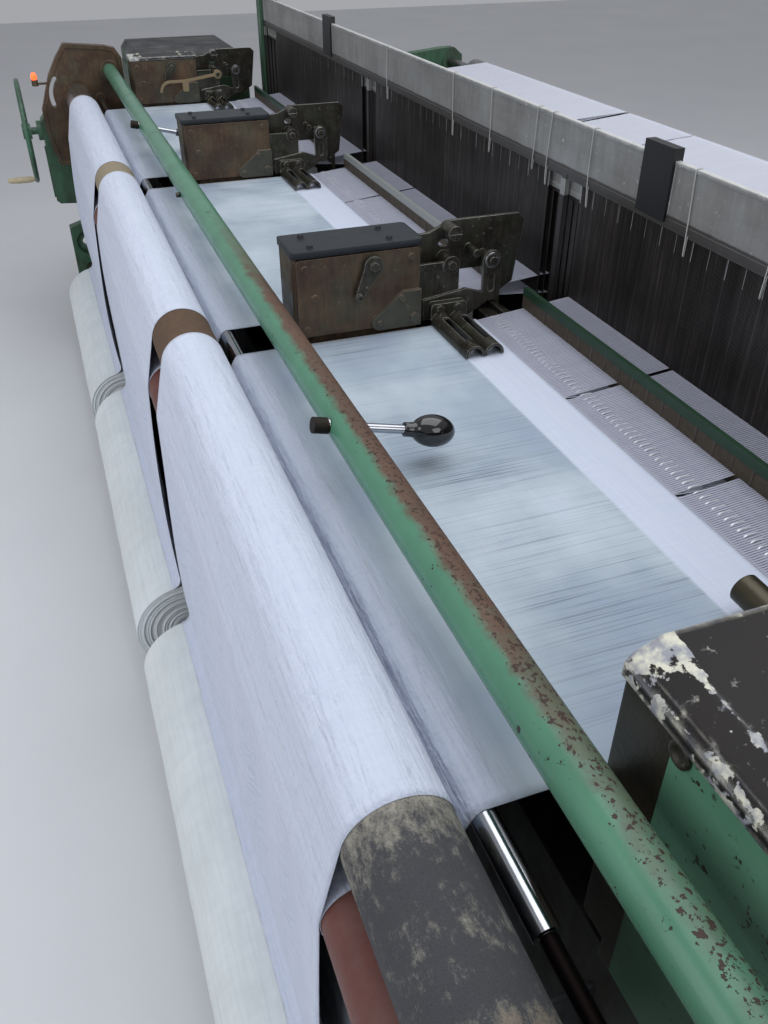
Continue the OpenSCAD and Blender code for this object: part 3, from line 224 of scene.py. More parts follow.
edge_kit, inlet, outlet = new_group("worn_edges",
    [("Width", "Float", 0.003), ("Ragged", "Float", 60.0)], [("Mask", "Float"), ("Normal", "Vector")])
rounded = put(edge_kit, "Bevel", {"Radius": inlet["Width"]}, samples=4)[0]
flat = put(edge_kit, "NewGeometry")["Normal"]
turned = put(edge_kit, "VectorMath", {0: rounded, 1: flat}, operation="DOT_PRODUCT")["Value"]
spot = noise(edge_kit, put(edge_kit, "TexCoord")["Object"], inlet["Ragged"], 5.0, 0.65)
sharp = calc(edge_kit, "SUBTRACT", 1.0, turned)
edge_kit.links.new(fade(edge_kit, calc(edge_kit, "ADD", times(edge_kit, sharp, 3.2),
    calc(edge_kit, "SUBTRACT", spot, 0.62)), 0.0, 0.12), outlet.inputs["Mask"])
edge_kit.links.new(rounded, outlet.inputs["Normal"])

chip_kit, inlet, outlet = new_group("paint_chips",
    [("Vector", "Vector", None), ("Scale", "Float", 40.0), ("Amount", "Float", 0.3)], [("Mask", "Float")])
patch = noise(chip_kit, inlet["Vector"], times(chip_kit, inlet["Scale"], 0.16), 3.0)
speck = noise(chip_kit, inlet["Vector"], inlet["Scale"], 5.0, 0.62)
level = calc(chip_kit, "SUBTRACT", calc(chip_kit, "ADD", times(chip_kit, patch, 0.5), speck),
    calc(chip_kit, "SUBTRACT", 1.12, times(chip_kit, inlet["Amount"], 0.4)))
chip_kit.links.new(fade(chip_kit, level, 0.0, 0.02), outlet.inputs["Mask"])

grime_kit, inlet, outlet = new_group("oily_grime",
    [("Vector", "Vector", None), ("Scale", "Float", 4.0), ("Amount", "Float", 0.5)], [("Mask", "Float")])
wide = noise(grime_kit, inlet["Vector"], inlet["Scale"], 6.0, 0.6)
runs = noise(grime_kit, inlet["Vector"], inlet["Scale"], 4.0, 0.6, squeeze=(9.0, 9.0, 1.2))
both = calc(grime_kit, "ADD", times(grime_kit, wide, 0.65), times(grime_kit, runs, 0.35))
grime_kit.links.new(times(grime_kit, fade(grime_kit, both, 0.38, 0.62), inlet["Amount"]),
    outlet.inputs["Mask"])


def machine_paint(name, coat, under, grime, chips, rough=0.42, edges=0.004):
    """Paint over iron: coat colour, iron where chips and worn edges bare it, and a film of grime."""
    finish, tree, shader, place = new_finish(name, rough=rough)
    worn = use_group(tree, edge_kit, Width=edges, Ragged=70.0)
    chip = patches(tree, chip_kit, place, 70.0, chips)
    bare = calc(tree, "MAXIMUM", chip, worn["Mask"])
    dirt = patches(tree, grime_kit, place, 4.5, 0.85)
    cloud = noise(tree, place, 9.0, 5.0)
    painted = mix(tree, cloud, coat, tuple(0.72 * v for v in coat[:3]) + (1.0,))
    wire(tree, shader, Base_Color=mix(tree, bare, mix(tree, dirt, painted, grime), under),
        Roughness=fade(tree, calc(tree, "ADD", times(tree, dirt, 0.4), cloud), 0.3, 1.1,
        rough - 0.1, rough + 0.25))
    height = calc(tree, "SUBTRACT", times(tree, noise(tree, place, 140.0, 3.0), 0.35), bare)
    wire(tree, shader, Normal=bump(tree, height, 0.0005, worn["Normal"]))
    return finish


paint_node("side_frame_left side_frame_right rear_crossbeam harness_posts letoff_gearbox takeup_gearbox",
    machine_paint("casting_green", tone(70, 116, 88), tone(48, 42, 40), tone(46, 54, 44), 0.42))
paint_node("main_girder cloth_support end_bracket_right",
    machine_paint("girder_paint", tone(44, 50, 44), tone(40, 32, 30), tone(38, 27, 25), 0.5, rough=0.5))

# Drive and picking housing at the left end: the same green on its walls, under a black lid with a
# turned-down edge.
picking_paint = machine_paint("picking_paint", tone(62, 100, 74), tone(50, 44, 40), tone(48, 54, 40), 0.38)
tree = picking_paint.node_tree
skin = tree.nodes["Principled BSDF"].inputs["Base Color"]
place = put(tree, "TexCoord")["Object"]
lid_drop = 0.026
lid_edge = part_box("picking_housing")[1][2] - lid_drop
height = put(tree, "SeparateXYZ", {0: place})[2]
lid_mask = fade(tree, height, lid_edge - 0.0005, lid_edge + 0.0005)
tree.links.new(mix(tree, lid_mask, skin.links[0].from_socket, mix(tree, noise(tree, place, 12.0, 5.0),
    tone(26, 27, 30), tone(44, 44, 46))), skin)
paint_node("picking_housing", picking_paint)

# Front cover behind the hanging cloth: thin sheet steel in worn grey paint, screwed under the roller
# brackets.
paint_node("front_cover",
    machine_paint("cover_grey", tone(96, 102, 108), tone(60, 56, 54), tone(54, 54, 56), 0.3))

# Bare castings of the left end bracket and the box units: machined iron that years of oil, heat and
# lint have turned a coppery brown.
oily_iron, tree, shader, place = new_finish("oily_iron", rough=0.42, metal=0.35)
worn = use_group(tree, edge_kit, Width=0.0025, Ragged=90.0)
dirt = patches(tree, grime_kit, place, 14.0, 1.0)
fleck = patches(tree, chip_kit, place, 160.0, 0.3)
split = put(tree, "SeparateXYZ", {0: place})
skin = mix(tree, fade(tree, noise(tree, place, 11.0, 6.0, 0.6), 0.4, 0.62), tone(106, 82, 62), tone(88, 82, 64))
skin = mix(tree, fade(tree, noise(tree, place, 14.0, 5.0, 0.6), 0.5, 0.64, 0.0, 0.7), skin, tone(102, 64, 48))
skin = mix(tree, times(tree, dirt, 0.8), skin, tone(58, 50, 41))
pitch = 1.2
plate_x, plate_t, plate_y, plate_top = 0.6538, 0.02, -0.452, 1.0447
from_face = calc(tree, "FRACT", calc(tree, "DIVIDE", calc(tree, "SUBTRACT", split[0], plate_x), pitch))
temple_plate = times(tree, fade(tree, split[1], plate_y, plate_y + 0.0005),
    fade(tree, split[2], plate_top, plate_top + 0.0002, 1.0, 0.0))
temple_plate = times(tree, temple_plate, fade(tree, from_face, plate_t, plate_t + 0.0002, 1.0, 0.0))
skin = mix(tree, temple_plate, skin, mix(tree, noise(tree, place, 24.0, 6.0), tone(92, 92, 82), tone(62, 62, 52)))
skin = mix(tree, fleck, skin, tone(34, 28, 26))
wire(tree, shader, Base_Color=mix(tree, times(tree, worn["Mask"], 0.6), skin, tone(150, 130, 114)),
    Roughness=fade(tree, noise(tree, place, 30.0, 5.0), 0.3, 0.7, 0.3, 0.6),
    Normal=bump(tree, noise(tree, place, 240.0, 4.0), 0.0004, worn["Normal"]))
paint_node("end_bracket_left unit_b_box unit_c_box unit_d_box", oily_iron)

# Dark steel: guard plates, temple bars, levers, sley beam and stop-motion rails, blackened by oil
# with grey metal showing where parts rub.
dark_steel, tree, shader, place = new_finish("dark_steel", rough=0.38, metal=0.6)
worn = use_group(tree, edge_kit, Width=0.002, Ragged=110.0)
dirt = patches(tree, grime_kit, place, 18.0, 1.0)
skin = mix(tree, noise(tree, place, 45.0, 6.0, 0.6), tone(98, 97, 86), tone(56, 53, 48))
skin = mix(tree, fade(tree, noise(tree, place, 20.0, 5.0), 0.5, 0.62, 0.0, 0.8), skin, tone(70, 78, 62))
skin = mix(tree, dirt, skin, tone(50, 44, 38))
wire(tree, shader, Base_Color=mix(tree, worn["Mask"], skin, tone(150, 150, 146)),
    Roughness=fade(tree, noise(tree, place, 60.0, 5.0), 0.3, 0.7, 0.26, 0.56),
    Normal=bump(tree, noise(tree, place, 300.0, 3.0), 0.0003, worn["Normal"]))
paint_node("unit_b_fittings unit_c_fittings unit_d_fittings unit_b_lever unit_d_lever sley_beam stop_motion "
    "letoff_pinion beam_gear cloth_shaft sley_shaft", dark_steel)

# Bright steel and chrome: the back rest and the pulleys are turned steel dulled by oil. The breast bar's
# sleeve and the handle rods are polished chrome; the bar's core and the nut on the tube are dark.
bright_steel, tree, shader, place = new_finish("bright_steel", rough=0.3, metal=0.95)
worn = use_group(tree, edge_kit, Width=0.0015, Ragged=120.0)
skin = mix(tree, noise(tree, place, 60.0, 5.0), tone(172, 174, 176), tone(128, 128, 128))
wire(tree, shader, Base_Color=mix(tree, patches(tree, grime_kit, place, 20.0, 0.6), skin, tone(92, 86, 78)),
    Roughness=fade(tree, noise(tree, place, 90.0, 4.0), 0.3, 0.7, 0.2, 0.42),
    Normal=worn["Normal"])
paint_node("back_rest brake_pulley motor_pulley", bright_steel)

chrome, tree, shader, place = new_finish("polished_chrome", rough=0.12, metal=1.0)
wire(tree, shader, Base_Color=mix(tree, noise(tree, place, 40.0, 6.0), tone(196, 198, 204), tone(150, 152, 158)),
    Roughness=fade(tree, noise(tree, place, 120.0, 4.0), 0.35, 0.75, 0.08, 0.3))


def with_dark_part(name, base, mask_of, dark):
    """A copy of a metal finish that is dark, dull and rough where mask_of(tree, x, y, z) is 1."""
    finish = base.copy()
    finish.name = name
    tree = finish.node_tree
    shader = tree.nodes["Principled BSDF"].inputs
    split = put(tree, "SeparateXYZ", {0: put(tree, "TexCoord")["Object"]})
    mask = mask_of(tree, *split)
    wire(tree, shader, Base_Color=mix(tree, mask, shader["Base Color"].links[0].from_socket, dark),
        Roughness=fade(tree, mask, 0.0, 1.0, 0.14, 0.6))
    return finish


sleeve_left, sleeve_right, nut_back, hook_left, hook_right = -2.04, 1.866, -0.682, -1.7102, -1.7008


def off_bar(tree, x, y, z):
    """1 on the thin core of the breast bar, beyond the ends of its polished sleeve."""
    return calc(tree, "ADD", fade(tree, x, sleeve_right, sleeve_right + 0.0005),
        fade(tree, x, sleeve_left - 0.0005, sleeve_left, 1.0, 0.0))


def on_nut(tree, x, y, z):
    """1 in front of the start tube, where the handle's round nut stands."""
    return fade(tree, y, nut_back - 0.0005, nut_back, 1.0, 0.0)


def on_hook(tree, x, y, z):
    """1 on the hook lever over the left cloth."""
    return times(tree, fade(tree, x, hook_left - 0.0003, hook_left),
        fade(tree, x, hook_right, hook_right + 0.0003, 1.0, 0.0))


paint_node("unit_d_fittings", with_dark_part("fittings_and_hook", dark_steel, on_hook, tone(150, 132, 104)))
paint_node("breast_bar", with_dark_part("bar_and_core", chrome, off_bar, tone(30, 24, 24)))
paint_node("handle_rods", with_dark_part("rod_and_nut", chrome, on_nut, tone(52, 48, 44)))


# Take-up roller: a steel drum wound with emery strip, grey where lint and fibres fill the grit and
# brown where the strip is worn, and painted paler as painted light away from its right end; a turned
# steel collar ends it on the left.
def away(tree, value, middle):
    """The distance of a value from a middle, on either side."""
    return calc(tree, "ABSOLUTE", calc(tree, "SUBTRACT", value, middle))


emery, tree, shader, place = new_finish("emery_strip", rough=0.85)
split = put(tree, "SeparateXYZ", {0: place})
fuzz = noise(tree, place, 60.0, 12.0, 0.82, squeeze=(0.8, 1.2, 1.2))
worn_band = noise(tree, place, 9.0, 5.0, 0.6, squeeze=(1.0, 0.3, 0.3))
grit = noise(tree, place, 620.0, 2.0)
fibre_level = calc(tree, "ADD", fuzz, times(tree, worn_band, 0.45))
# Painted light: away from x 1.86 the strip is painted 0.15 paler; near that end it stays darker grey.
painted_light_off_end = times(tree, fade(tree, away(tree, split[0], 1.86), 0.06, 0.12), 0.15)
skin = mix(tree, fade(tree, calc(tree, "ADD", fibre_level, painted_light_off_end), 0.74, 0.96), tone(66, 67, 71), tone(158, 154, 142))
tan = mix(tree, noise(tree, place, 60.0, 5.0), tone(108, 84, 62), tone(76, 58, 46))
near_gap = fade(tree, away(tree, split[0], pitch / 2), 0.3, 0.34, 1.0, 0.0)
far_gap = fade(tree, away(tree, split[0], -pitch / 2), 0.3, 0.34, 1.0, 0.0)
end_patch = fade(tree, calc(tree, "ADD", split[0], times(tree, fuzz, 0.12)), 2.0, 2.03)
skin = mix(tree, near_gap, skin, tan)
skin = mix(tree, far_gap, skin, tone(150, 138, 116))
skin = mix(tree, times(tree, end_patch, 0.8), skin, tone(104, 76, 50))
collar_x = -1.77
collar = fade(tree, split[0], collar_x - 0.005, collar_x + 0.005, 1.0, 0.0)
skin = mix(tree, collar, skin, tone(205, 207, 214))
wire(tree, shader, Base_Color=mix(tree, fade(tree, grit, 0.45, 0.7, 0.0, 0.35), skin, tone(30, 28, 28)),
    Metallic=collar,
    Roughness=fade(tree, collar, 0.0, 1.0, 0.85, 0.2),
    Normal=bump(tree, times(tree, calc(tree, "ADD", grit, fuzz), calc(tree, "SUBTRACT", 1.0, collar)),
    0.0009))
paint_node("takeup_roller", emery)

# Press roller: a steel core under dark red rubber that nips the cloth against the take-up roller.
red_rubber, tree, shader, place = new_finish("red_rubber", rough=0.55)
skin = mix(tree, noise(tree, place, 16.0, 6.0, 0.6), tone(112, 44, 34), tone(74, 34, 28))
dust = patches(tree, grime_kit, place, 12.0, 0.5)
wire(tree, shader, Base_Color=mix(tree, dust, skin, tone(104, 78, 70)),
    Normal=bump(tree, noise(tree, place, 200.0, 3.0), 0.0003))
paint_node("press_roller", red_rubber)


# Three cloths: plain cotton, woven at the fell, led over the polished bar, under and up the press
# roller, back over the emery drum and down in a free drape onto the cloth roll.
def bow(y, z, radius, start, stop, count):
    """Points on a circle seen along X, from one angle to another in degrees."""
    angle = np.radians(np.linspace(start, stop, count))
    return np.column_stack((y + radius * np.cos(angle), z + radius * np.sin(angle)))


def leaving(y1, z1, r1, side1, y2, z2, r2, side2):
    """Direction in degrees of the straight run from circle 1 to circle 2; side 1 turns left."""
    return math.degrees(math.atan2(z2 - z1, y2 - y1)
        + math.asin((side1 * r1 - side2 * r2) / math.hypot(y2 - y1, z2 - z1)))


def even_steps(path, step):
    """The same path with points an even step apart, their distances and left-hand normals."""
    legs = np.linalg.norm(np.diff(path, axis=0), axis=1)
    far = np.concatenate(([0.0], np.cumsum(legs)))
    at = np.linspace(0.0, far[-1], int(far[-1] / step) + 1)
    line = np.column_stack([np.interp(at, far, path[:, k]) for k in (0, 1)])
    way = np.gradient(line, axis=0)
    way /= np.linalg.norm(way, axis=1)[:, None]
    return line, at, np.column_stack((-way[:, 1], way[:, 0]))


def grid_faces(rows, columns, around=False):
    """Quads of a grid of rows by columns; around joins the last column to the first."""
    index = np.arange(rows * columns).reshape(rows, columns)
    if around:
        index = np.hstack((index, index[:, :1]))
    return np.stack((index[:-1, :-1], index[:-1, 1:], index[1:, 1:], index[1:, :-1]), -1).reshape(-1, 4)


def new_piece(name, points, faces, finish, body, smooth=True, uv=None, weld=False):
    """A mesh of points and faces in place, riding on a body; weld joins the points that meet."""
    mesh = bpy.data.meshes.new(name)
    mesh.from_pydata(np.asarray(points, float).reshape(-1, 3).tolist(), [], [list(face) for face in faces])
    if uv is not None:
        corner = np.zeros(len(mesh.loops), np.int32)
        mesh.loops.foreach_get("vertex_index", corner)
        mesh.uv_layers.new(name="cut").data.foreach_set("uv", uv.reshape(-1, 2)[corner].ravel())
    mesh.polygons.foreach_set("use_smooth", np.full(len(mesh.polygons), smooth))
    mesh.materials.append(finish)
    if weld:
        shell = bmesh.new()
        shell.from_mesh(mesh)
        bmesh.ops.remove_doubles(shell, verts=shell.verts, dist=1e-6)
        shell.to_mesh(mesh)
        shell.free()
    mesh.validate()
    made = bpy.data.objects.new(name, mesh)
    scene.collection.objects.link(made)
    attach(made, body)
    return made


panels = (("right", pitch), ("middle", 0.0), ("left", -pitch))
centres = [centre for _, centre in panels]
cloth_z, cloth_t, gap = 0.964, 0.001, 0.0003
fell_y, panel_w = -0.219, 1.08
cloth_mid = cloth_z - cloth_t / 2
bar_r, drum_r, press_r = 0.0145, 0.058, 0.050
bar_y, bar_wrap = -0.712, bar_r + gap + cloth_t / 2
bar_z = cloth_mid - bar_wrap
take_y, take_z, take_wrap = -0.802, 0.963, drum_r + gap + cloth_t / 2
press_wrap, nip_angle = press_r + gap + cloth_t / 2, 73.5
press_y = take_y - (take_wrap + press_wrap) * math.cos(math.radians(nip_angle))
press_z = take_z - (take_wrap + press_wrap) * math.sin(math.radians(nip_angle))
press_over = press_wrap + cloth_t + gap
roll_y, roll_z, roll_r = -0.883, 0.215, 0.125
drape_y, drape_r = press_y - press_over, 0.026
drape_z = roll_z + math.sqrt((drape_r + roll_r + gap + cloth_t / 2) ** 2 - (drape_y - drape_r - roll_y) ** 2)
drape_end = math.degrees(math.atan2(roll_z - drape_z, roll_y - drape_y + drape_r))
bar_out = leaving(bar_y, bar_z, bar_wrap, 1, press_y, press_z, press_wrap, -1)
take_out = leaving(take_y, take_z, take_wrap, 1, press_y, press_z, press_over, 1) + 360
cloth_path = np.vstack((
    [[fell_y - 0.0006, cloth_mid]],
    bow(bar_y, bar_z, bar_wrap, 90, bar_out + 270, 14),
    bow(press_y, press_z, press_wrap, bar_out + 450, nip_angle + 2, 40),
    bow(take_y, take_z, take_wrap, nip_angle + 182, take_out + 270, 50),
    bow(press_y, press_z, press_over, take_out - 90, 180, 6),
    bow(drape_y - drape_r, drape_z, drape_r, 0, drape_end, 8)))
cloth_line, cloth_far, cloth_out = even_steps(cloth_path, 0.0075)

cotton, tree, shader, place = new_finish("plain_cotton", rough=0.9, Sheen_Weight=0.25, Sheen_Roughness=0.4,
    Specular_IOR_Level=0.25)
split = put(tree, "SeparateXYZ", {0: place})
flat_part = times(tree, fade(tree, split[1], -0.70, -0.66), fade(tree, split[2], 0.955, 0.96))
along = noise(tree, place, 210.0, 5.0, 0.7, squeeze=(1.0, 0.035, 0.035))
across = noise(tree, place, 260.0, 4.0, 0.65, squeeze=(0.03, 1.0, 1.0))
cloud = noise(tree, place, 3.2, 4.0)
white = mix(tree, along, tone(192, 201, 222), tone(214, 220, 234))
white = mix(tree, fade(tree, across, 0.35, 0.75, 0.0, 0.6), white, tone(190, 199, 220))
sheer = mix(tree, fade(tree, cloud, 0.36, 0.64), tone(172, 188, 190), tone(146, 160, 180))
open_part = times(tree, fade(tree, split[1], -0.318, -0.312, 1.0, 0.0),
    fade(tree, cloud, 0.30, 0.55, 0.3, 0.9))
lined = times(tree, fade(tree, split[1], -0.66, -0.50), fade(tree, noise(tree, place, 2.6, 3.0), 0.30, 0.55))
lines = noise(tree, place, 460.0, 2.0, 0.5, squeeze=(1.0, 0.008, 0.008))
sheer = mix(tree, times(tree, lined, fade(tree, lines, 0.54, 0.66)), sheer, tone(100, 112, 122))
wire(tree, shader, Base_Color=mix(tree, times(tree, flat_part, open_part), white, sheer))
crumple = calc(tree, "ADD", noise(tree, place, 26.0, 4.0, 0.6),
    noise(tree, place, 60.0, 3.0, squeeze=(0.12, 1.0, 1.0)))
crumple = times(tree, crumple, calc(tree, "SUBTRACT", 1.0, flat_part))
height = calc(tree, "ADD", times(tree, along, 0.6), times(tree, across, 0.5))
wire(tree, shader, Normal=bump(tree, height, 0.0007, bump(tree, crumple, 0.006)))


def drape_shape(width, line, far, out, seed):
    """A cloth on its path: each row of points is moved along the path's normal by slow folds,
    sin(k x + p) times a swell that is nil on the rollers and full in the free drape."""
    rng = np.random.default_rng(seed)
    across = np.linspace(-0.5, 0.5, 91)
    start = far[-1] - 0.52
    free = np.clip((far - start) / 0.5, 0, 1)
    swell = 0.0085 * np.sin(np.pi * free) ** 0.9
    table = 0.0006 * np.sin(np.pi * np.clip(far / 0.48, 0, 1))
    folds = np.zeros((len(far), len(across)))
    for wave, share in ((3.0, 0.5), (5.3, 0.55), (8.7, 0.35), (15.0, 0.16)):
        lean = rng.uniform(-0.9, 0.9)
        folds += share * np.sin(2 * np.pi * wave * across[None, :] + rng.uniform(0, 6.28) + lean * free[:, None] * 3)
    curl = np.exp(-((0.5 - np.abs(across)) * width / 0.022) ** 2)
    shift = swell[:, None] * (folds + 1.1 * curl[None, :]) + table[:, None] * folds
    draw = 1.0 - 0.010 * np.sin(np.pi * free)[:, None] * np.ones_like(folds)
    y = line[:, 0, None] - out[:, 0, None] * shift
    z = line[:, 1, None] - out[:, 1, None] * shift
    x = across[None, :] * width * draw
    uv = np.stack(((across[None, :] + 0.5) * width * np.ones_like(y), far[:, None] * np.ones_like(y)), -1)
    return np.stack((x, y, z), -1), uv


for (name, centre), seed in zip(panels, (3, 5, 8)):
    points, uv = drape_shape(panel_w, cloth_line, cloth_far, cloth_out, seed)
    points[..., 0] += centre
    cloth = new_piece("cloth_" + name, points, grid_faces(*points.shape[:2]), cotton, "frame", uv=uv)
    wall = cloth.modifiers.new("thickness", "SOLIDIFY")
    wall.thickness = 0.0007
    wall.offset = 0.0
    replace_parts(cloth, "fabric_" + name)

# Cloth rolls: the same cotton wound on card tubes by the driven shaft, with its turns showing as
# rings on the ends.
rolled, tree, shader, place = new_finish("rolled_cotton", rough=0.9, Sheen_Weight=0.25, Specular_IOR_Level=0.25)
wound = noise(tree, place, 120.0, 4.0, 0.6, squeeze=(0.05, 1.0, 1.0))
band = noise(tree, place, 30.0, 5.0, 0.6, squeeze=(1.0, 0.05, 0.05))
skin = mix(tree, band, tone(232, 236, 238), tone(212, 220, 224))
skin = mix(tree, fade(tree, wound, 0.4, 0.75, 0.0, 0.4), skin, tone(192, 201, 208))
wire(tree, shader, Base_Color=mix(tree, patches(tree, grime_kit, place, 3.0, 0.25), skin, tone(168, 176, 170)),
    Normal=bump(tree, calc(tree, "ADD", wound, band), 0.0005))


def lathe(profile, base, way=(1, 0, 0), count=96):
    """Rows of (distance, radius) turned about an axis: base + distance * way + radius * a unit
    vector that goes once round the axis."""
    way = Vector(way).normalized()
    side = way.orthogonal().normalized()
    turn = np.linspace(0, 2 * np.pi, count, endpoint=False)[:, None]
    ring = np.cos(turn) * np.array(side) + np.sin(turn) * np.array(way.cross(side))
    return np.array(base) + profile[:, 0, None, None] * np.array(way) + profile[:, 1, None, None] * ring[None]


def new_round(name, points, finish, body):
    """A piece of rows of points that each close round an axis."""
    return new_piece(name, points, grid_faces(*points.shape[:2], around=True), finish, body, weld=True)


rng = np.random.default_rng(11)
rings, bore_r, card_r = 30, 0.0222, 0.036
for name, centre in panels:
    ring_r = np.linspace(card_r, roll_r - 0.002, rings)
    stagger = rng.uniform(-0.0022, 0.0012, rings)
    left = np.column_stack((np.repeat(-panel_w / 2 - stagger, 2), np.sort(np.concatenate((ring_r, ring_r + 0.0021)))))
    face = np.linspace(-panel_w / 2 + 0.004, panel_w / 2 - 0.004, 60)
    lump = roll_r - 0.0006 + 0.0006 * np.sin(face * 21 + centre) * np.cos(face * 8.3)
    right_end = left[::-1] * [-1, 1]
    profile = np.vstack(([[-panel_w / 2, bore_r]], left, np.column_stack((face, lump)), right_end,
        [[panel_w / 2, bore_r], [-panel_w / 2, bore_r]]))
    points = lathe(profile, (centre, roll_y, roll_z))
    roll = new_round("rolled_cloth_" + name, points, rolled, "cloth_winder")
    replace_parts(roll, "cloth_roll_" + name)

# Start tube: a long welded steel tube with two round-headed handles; its green paint is chipped, and
# hands and belts have rubbed the upper back side down to rust. Where the rust turns towards the back,
# it is painted dark grey as painted shade.
tube_paint, tree, shader, place = new_finish("tube_paint", rough=0.3, Specular_IOR_Level=0.35)
split = put(tree, "SeparateXYZ", {0: place})
tube_y, tube_z = -0.656, 1.054
angle = calc(tree, "ARCTAN2", calc(tree, "SUBTRACT", split[2], tube_z), calc(tree, "SUBTRACT", split[1], tube_y))
ragged = calc(tree, "SUBTRACT", noise(tree, place, 34.0, 7.0, 0.66), 0.5)
off_crest = away(tree, angle, 0.85)
streak = fade(tree, calc(tree, "ADD", off_crest, times(tree, ragged, 1.1)), 0.80, 1.24, 1.0, 0.0)
from_grip = calc(tree, "ADD", away(tree, split[0], 1.12),
    times(tree, ragged, 0.5))
rust_level = times(tree, streak, fade(tree, from_grip, 0.45, 1.0, 1.0, 0.0))
fine = noise(tree, place, 170.0, 3.0, 0.6)
pitted = times(tree, fade(tree, off_crest, 0.9, 1.25, 1.0, 0.0), fade(tree, split[0], 0.2, 1.2))
flake = fade(tree, calc(tree, "ADD", fine, times(tree, pitted, 0.14)), 0.71, 0.73)
chip = patches(tree, chip_kit, place, 75.0, 0.42)
green = mix(tree, noise(tree, place, 12.0, 5.0), tone(94, 146, 120), tone(68, 112, 92))
film = mix(tree, noise(tree, place, 24.0, 5.0), tone(108, 62, 50), tone(76, 54, 48))
# Painted shade: towards the tube's back side, at low angles, the rust film is painted dark grey.
film = mix(tree, fade(tree, angle, 0.75, 0.05), film, tone(60, 58, 55))
coat = mix(tree, times(tree, rust_level, 0.88), green, film)
coat = mix(tree, flake, coat, mix(tree, noise(tree, place, 50.0), tone(46, 38, 35), tone(74, 52, 44)))
coat = mix(tree, chip, coat, tone(50, 40, 36))
height = times(tree, noise(tree, place, 90.0, 3.0), 0.3)
height = calc(tree, "SUBTRACT", height, calc(tree, "MAXIMUM", flake, chip))
wire(tree, shader, Base_Color=coat,
    Roughness=fade(tree, calc(tree, "MAXIMUM", flake, rust_level), 0.0, 1.0, 0.26, 0.62),
    Normal=bump(tree, height, 0.0005))
paint_node("start_tube", tube_paint)

knob_black, tree, shader, place = new_finish("gloss_black", rough=0.12, Coat_Weight=0.6, Coat_Roughness=0.05)
wire(tree, shader, Base_Color=mix(tree, noise(tree, place, 60.0, 4.0), tone(16, 16, 18), tone(26, 26, 28)),
    Roughness=fade(tree, noise(tree, place, 40.0, 4.0), 0.4, 0.8, 0.06, 0.16))

# Handle knobs: glossy black plastic eggs with a short neck, bored out and pressed over the ends of the
# two rods, which lean 14 degrees down from the tube.
handle_drop = math.radians(14)
knob_way = np.array((0.0, math.cos(handle_drop), -math.sin(handle_drop)))
neck_start, bore_r, bore_end = 0.093, 0.0075, 0.038
egg_middle, egg_length, egg_r = 0.048, 0.036, 0.025
neck = [[bore_end, 0.0], [bore_end, bore_r], [0.0, bore_r], [0.0, 0.0105], [0.0006, 0.011], [0.009, 0.0111]]
lean = np.radians(np.linspace(-62, 90, 34))
egg = np.column_stack((egg_middle + egg_length * np.sin(lean), egg_r * np.cos(lean)))
knob_profile = np.vstack((neck, egg))
knob_profile[-1, 1] = 0.0
for name, x in (("near", 1.141), ("far", -0.930)):
    points = lathe(knob_profile, np.array((x, tube_y, tube_z)) + neck_start * knob_way, knob_way, 64)
    knob = new_round("handle_knob_" + name, points, knob_black, "start_bar")
    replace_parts(knob, "handle_knobs")

# Receiving unit at the right end: a folded housing in mint green with a black lid that is chipped
# down to its white primer, and a dark steel plate on its inner side.
receiver_paint, tree, shader, place = new_finish("receiver_paint", rough=0.34)
split = put(tree, "SeparateXYZ", {0: place})
worn = use_group(tree, edge_kit, Width=0.004, Ragged=60.0)
chip = patches(tree, chip_kit, place, 80.0, 0.5)
green = mix(tree, noise(tree, place, 7.0, 5.0), tone(102, 152, 126), tone(72, 116, 94))
# Below about z 1.0 to 1.08 the green is painted darker towards the bottom.
low = fade(tree, calc(tree, "ADD", split[2], times(tree, noise(tree, place, 9.0, 5.0), 0.12)),
    0.98, 1.08, 1.0, 0.0)
green = mix(tree, times(tree, low, 0.55), green, tone(52, 62, 48))
green = mix(tree, calc(tree, "MAXIMUM", chip, worn["Mask"]), green, tone(44, 40, 34))
plate = mix(tree, noise(tree, place, 14.0, 5.0), tone(84, 79, 62), tone(52, 46, 42))
plate_right = 1.8228
steel_side = fade(tree, split[0], plate_right, plate_right + 0.0004, 1.0, 0.0)
wire(tree, shader, Base_Color=mix(tree, steel_side, green, plate),
    Metallic=times(tree, steel_side, 0.7),
    Normal=bump(tree, noise(tree, place, 120.0, 4.0), 0.0004, worn["Normal"]))
paint_node("receiver_housing", receiver_paint)

lid_paint, tree, shader, place = new_finish("lid_paint", rough=0.3, Specular_IOR_Level=0.22)
split = put(tree, "SeparateXYZ", {0: place})
worn = use_group(tree, edge_kit, Width=0.010, Ragged=45.0)
chip = patches(tree, chip_kit, place, 60.0, 0.42)
receiver_left, far_right = 1.74, -1.7
on_receiver = fade(tree, split[0], receiver_left, receiver_left + 0.0001)
ragged = noise(tree, place, 55.0, 6.0, 0.6)
coarse = noise(tree, place, 26.0, 5.0, 0.6)
crest_y, lip_y = -0.557, -0.590
crest = calc(tree, "SUBTRACT", ragged, times(tree, away(tree, split[1], crest_y), 30.0))
lip = calc(tree, "SUBTRACT", ragged, times(tree, away(tree, split[1], lip_y), 42.0))
corner = times(tree, fade(tree, split[1], -0.535, -0.548), calc(tree, "ADD", coarse,
    fade(tree, split[0], 1.75, 1.83, 0.11, -0.2)))
edge_line = fade(tree, calc(tree, "MAXIMUM", crest, lip), 0.42, 0.44)
edge_line = calc(tree, "MAXIMUM", edge_line, fade(tree, corner, 0.53, 0.55))
is_far = fade(tree, split[0], far_right, far_right - 0.01)
on_far = times(tree, is_far, calc(tree, "MAXIMUM", worn["Mask"],
    fade(tree, calc(tree, "ADD", coarse, fade(tree, split[1], -0.585, -0.55, 0.2, -0.1)), 0.56, 0.58)))
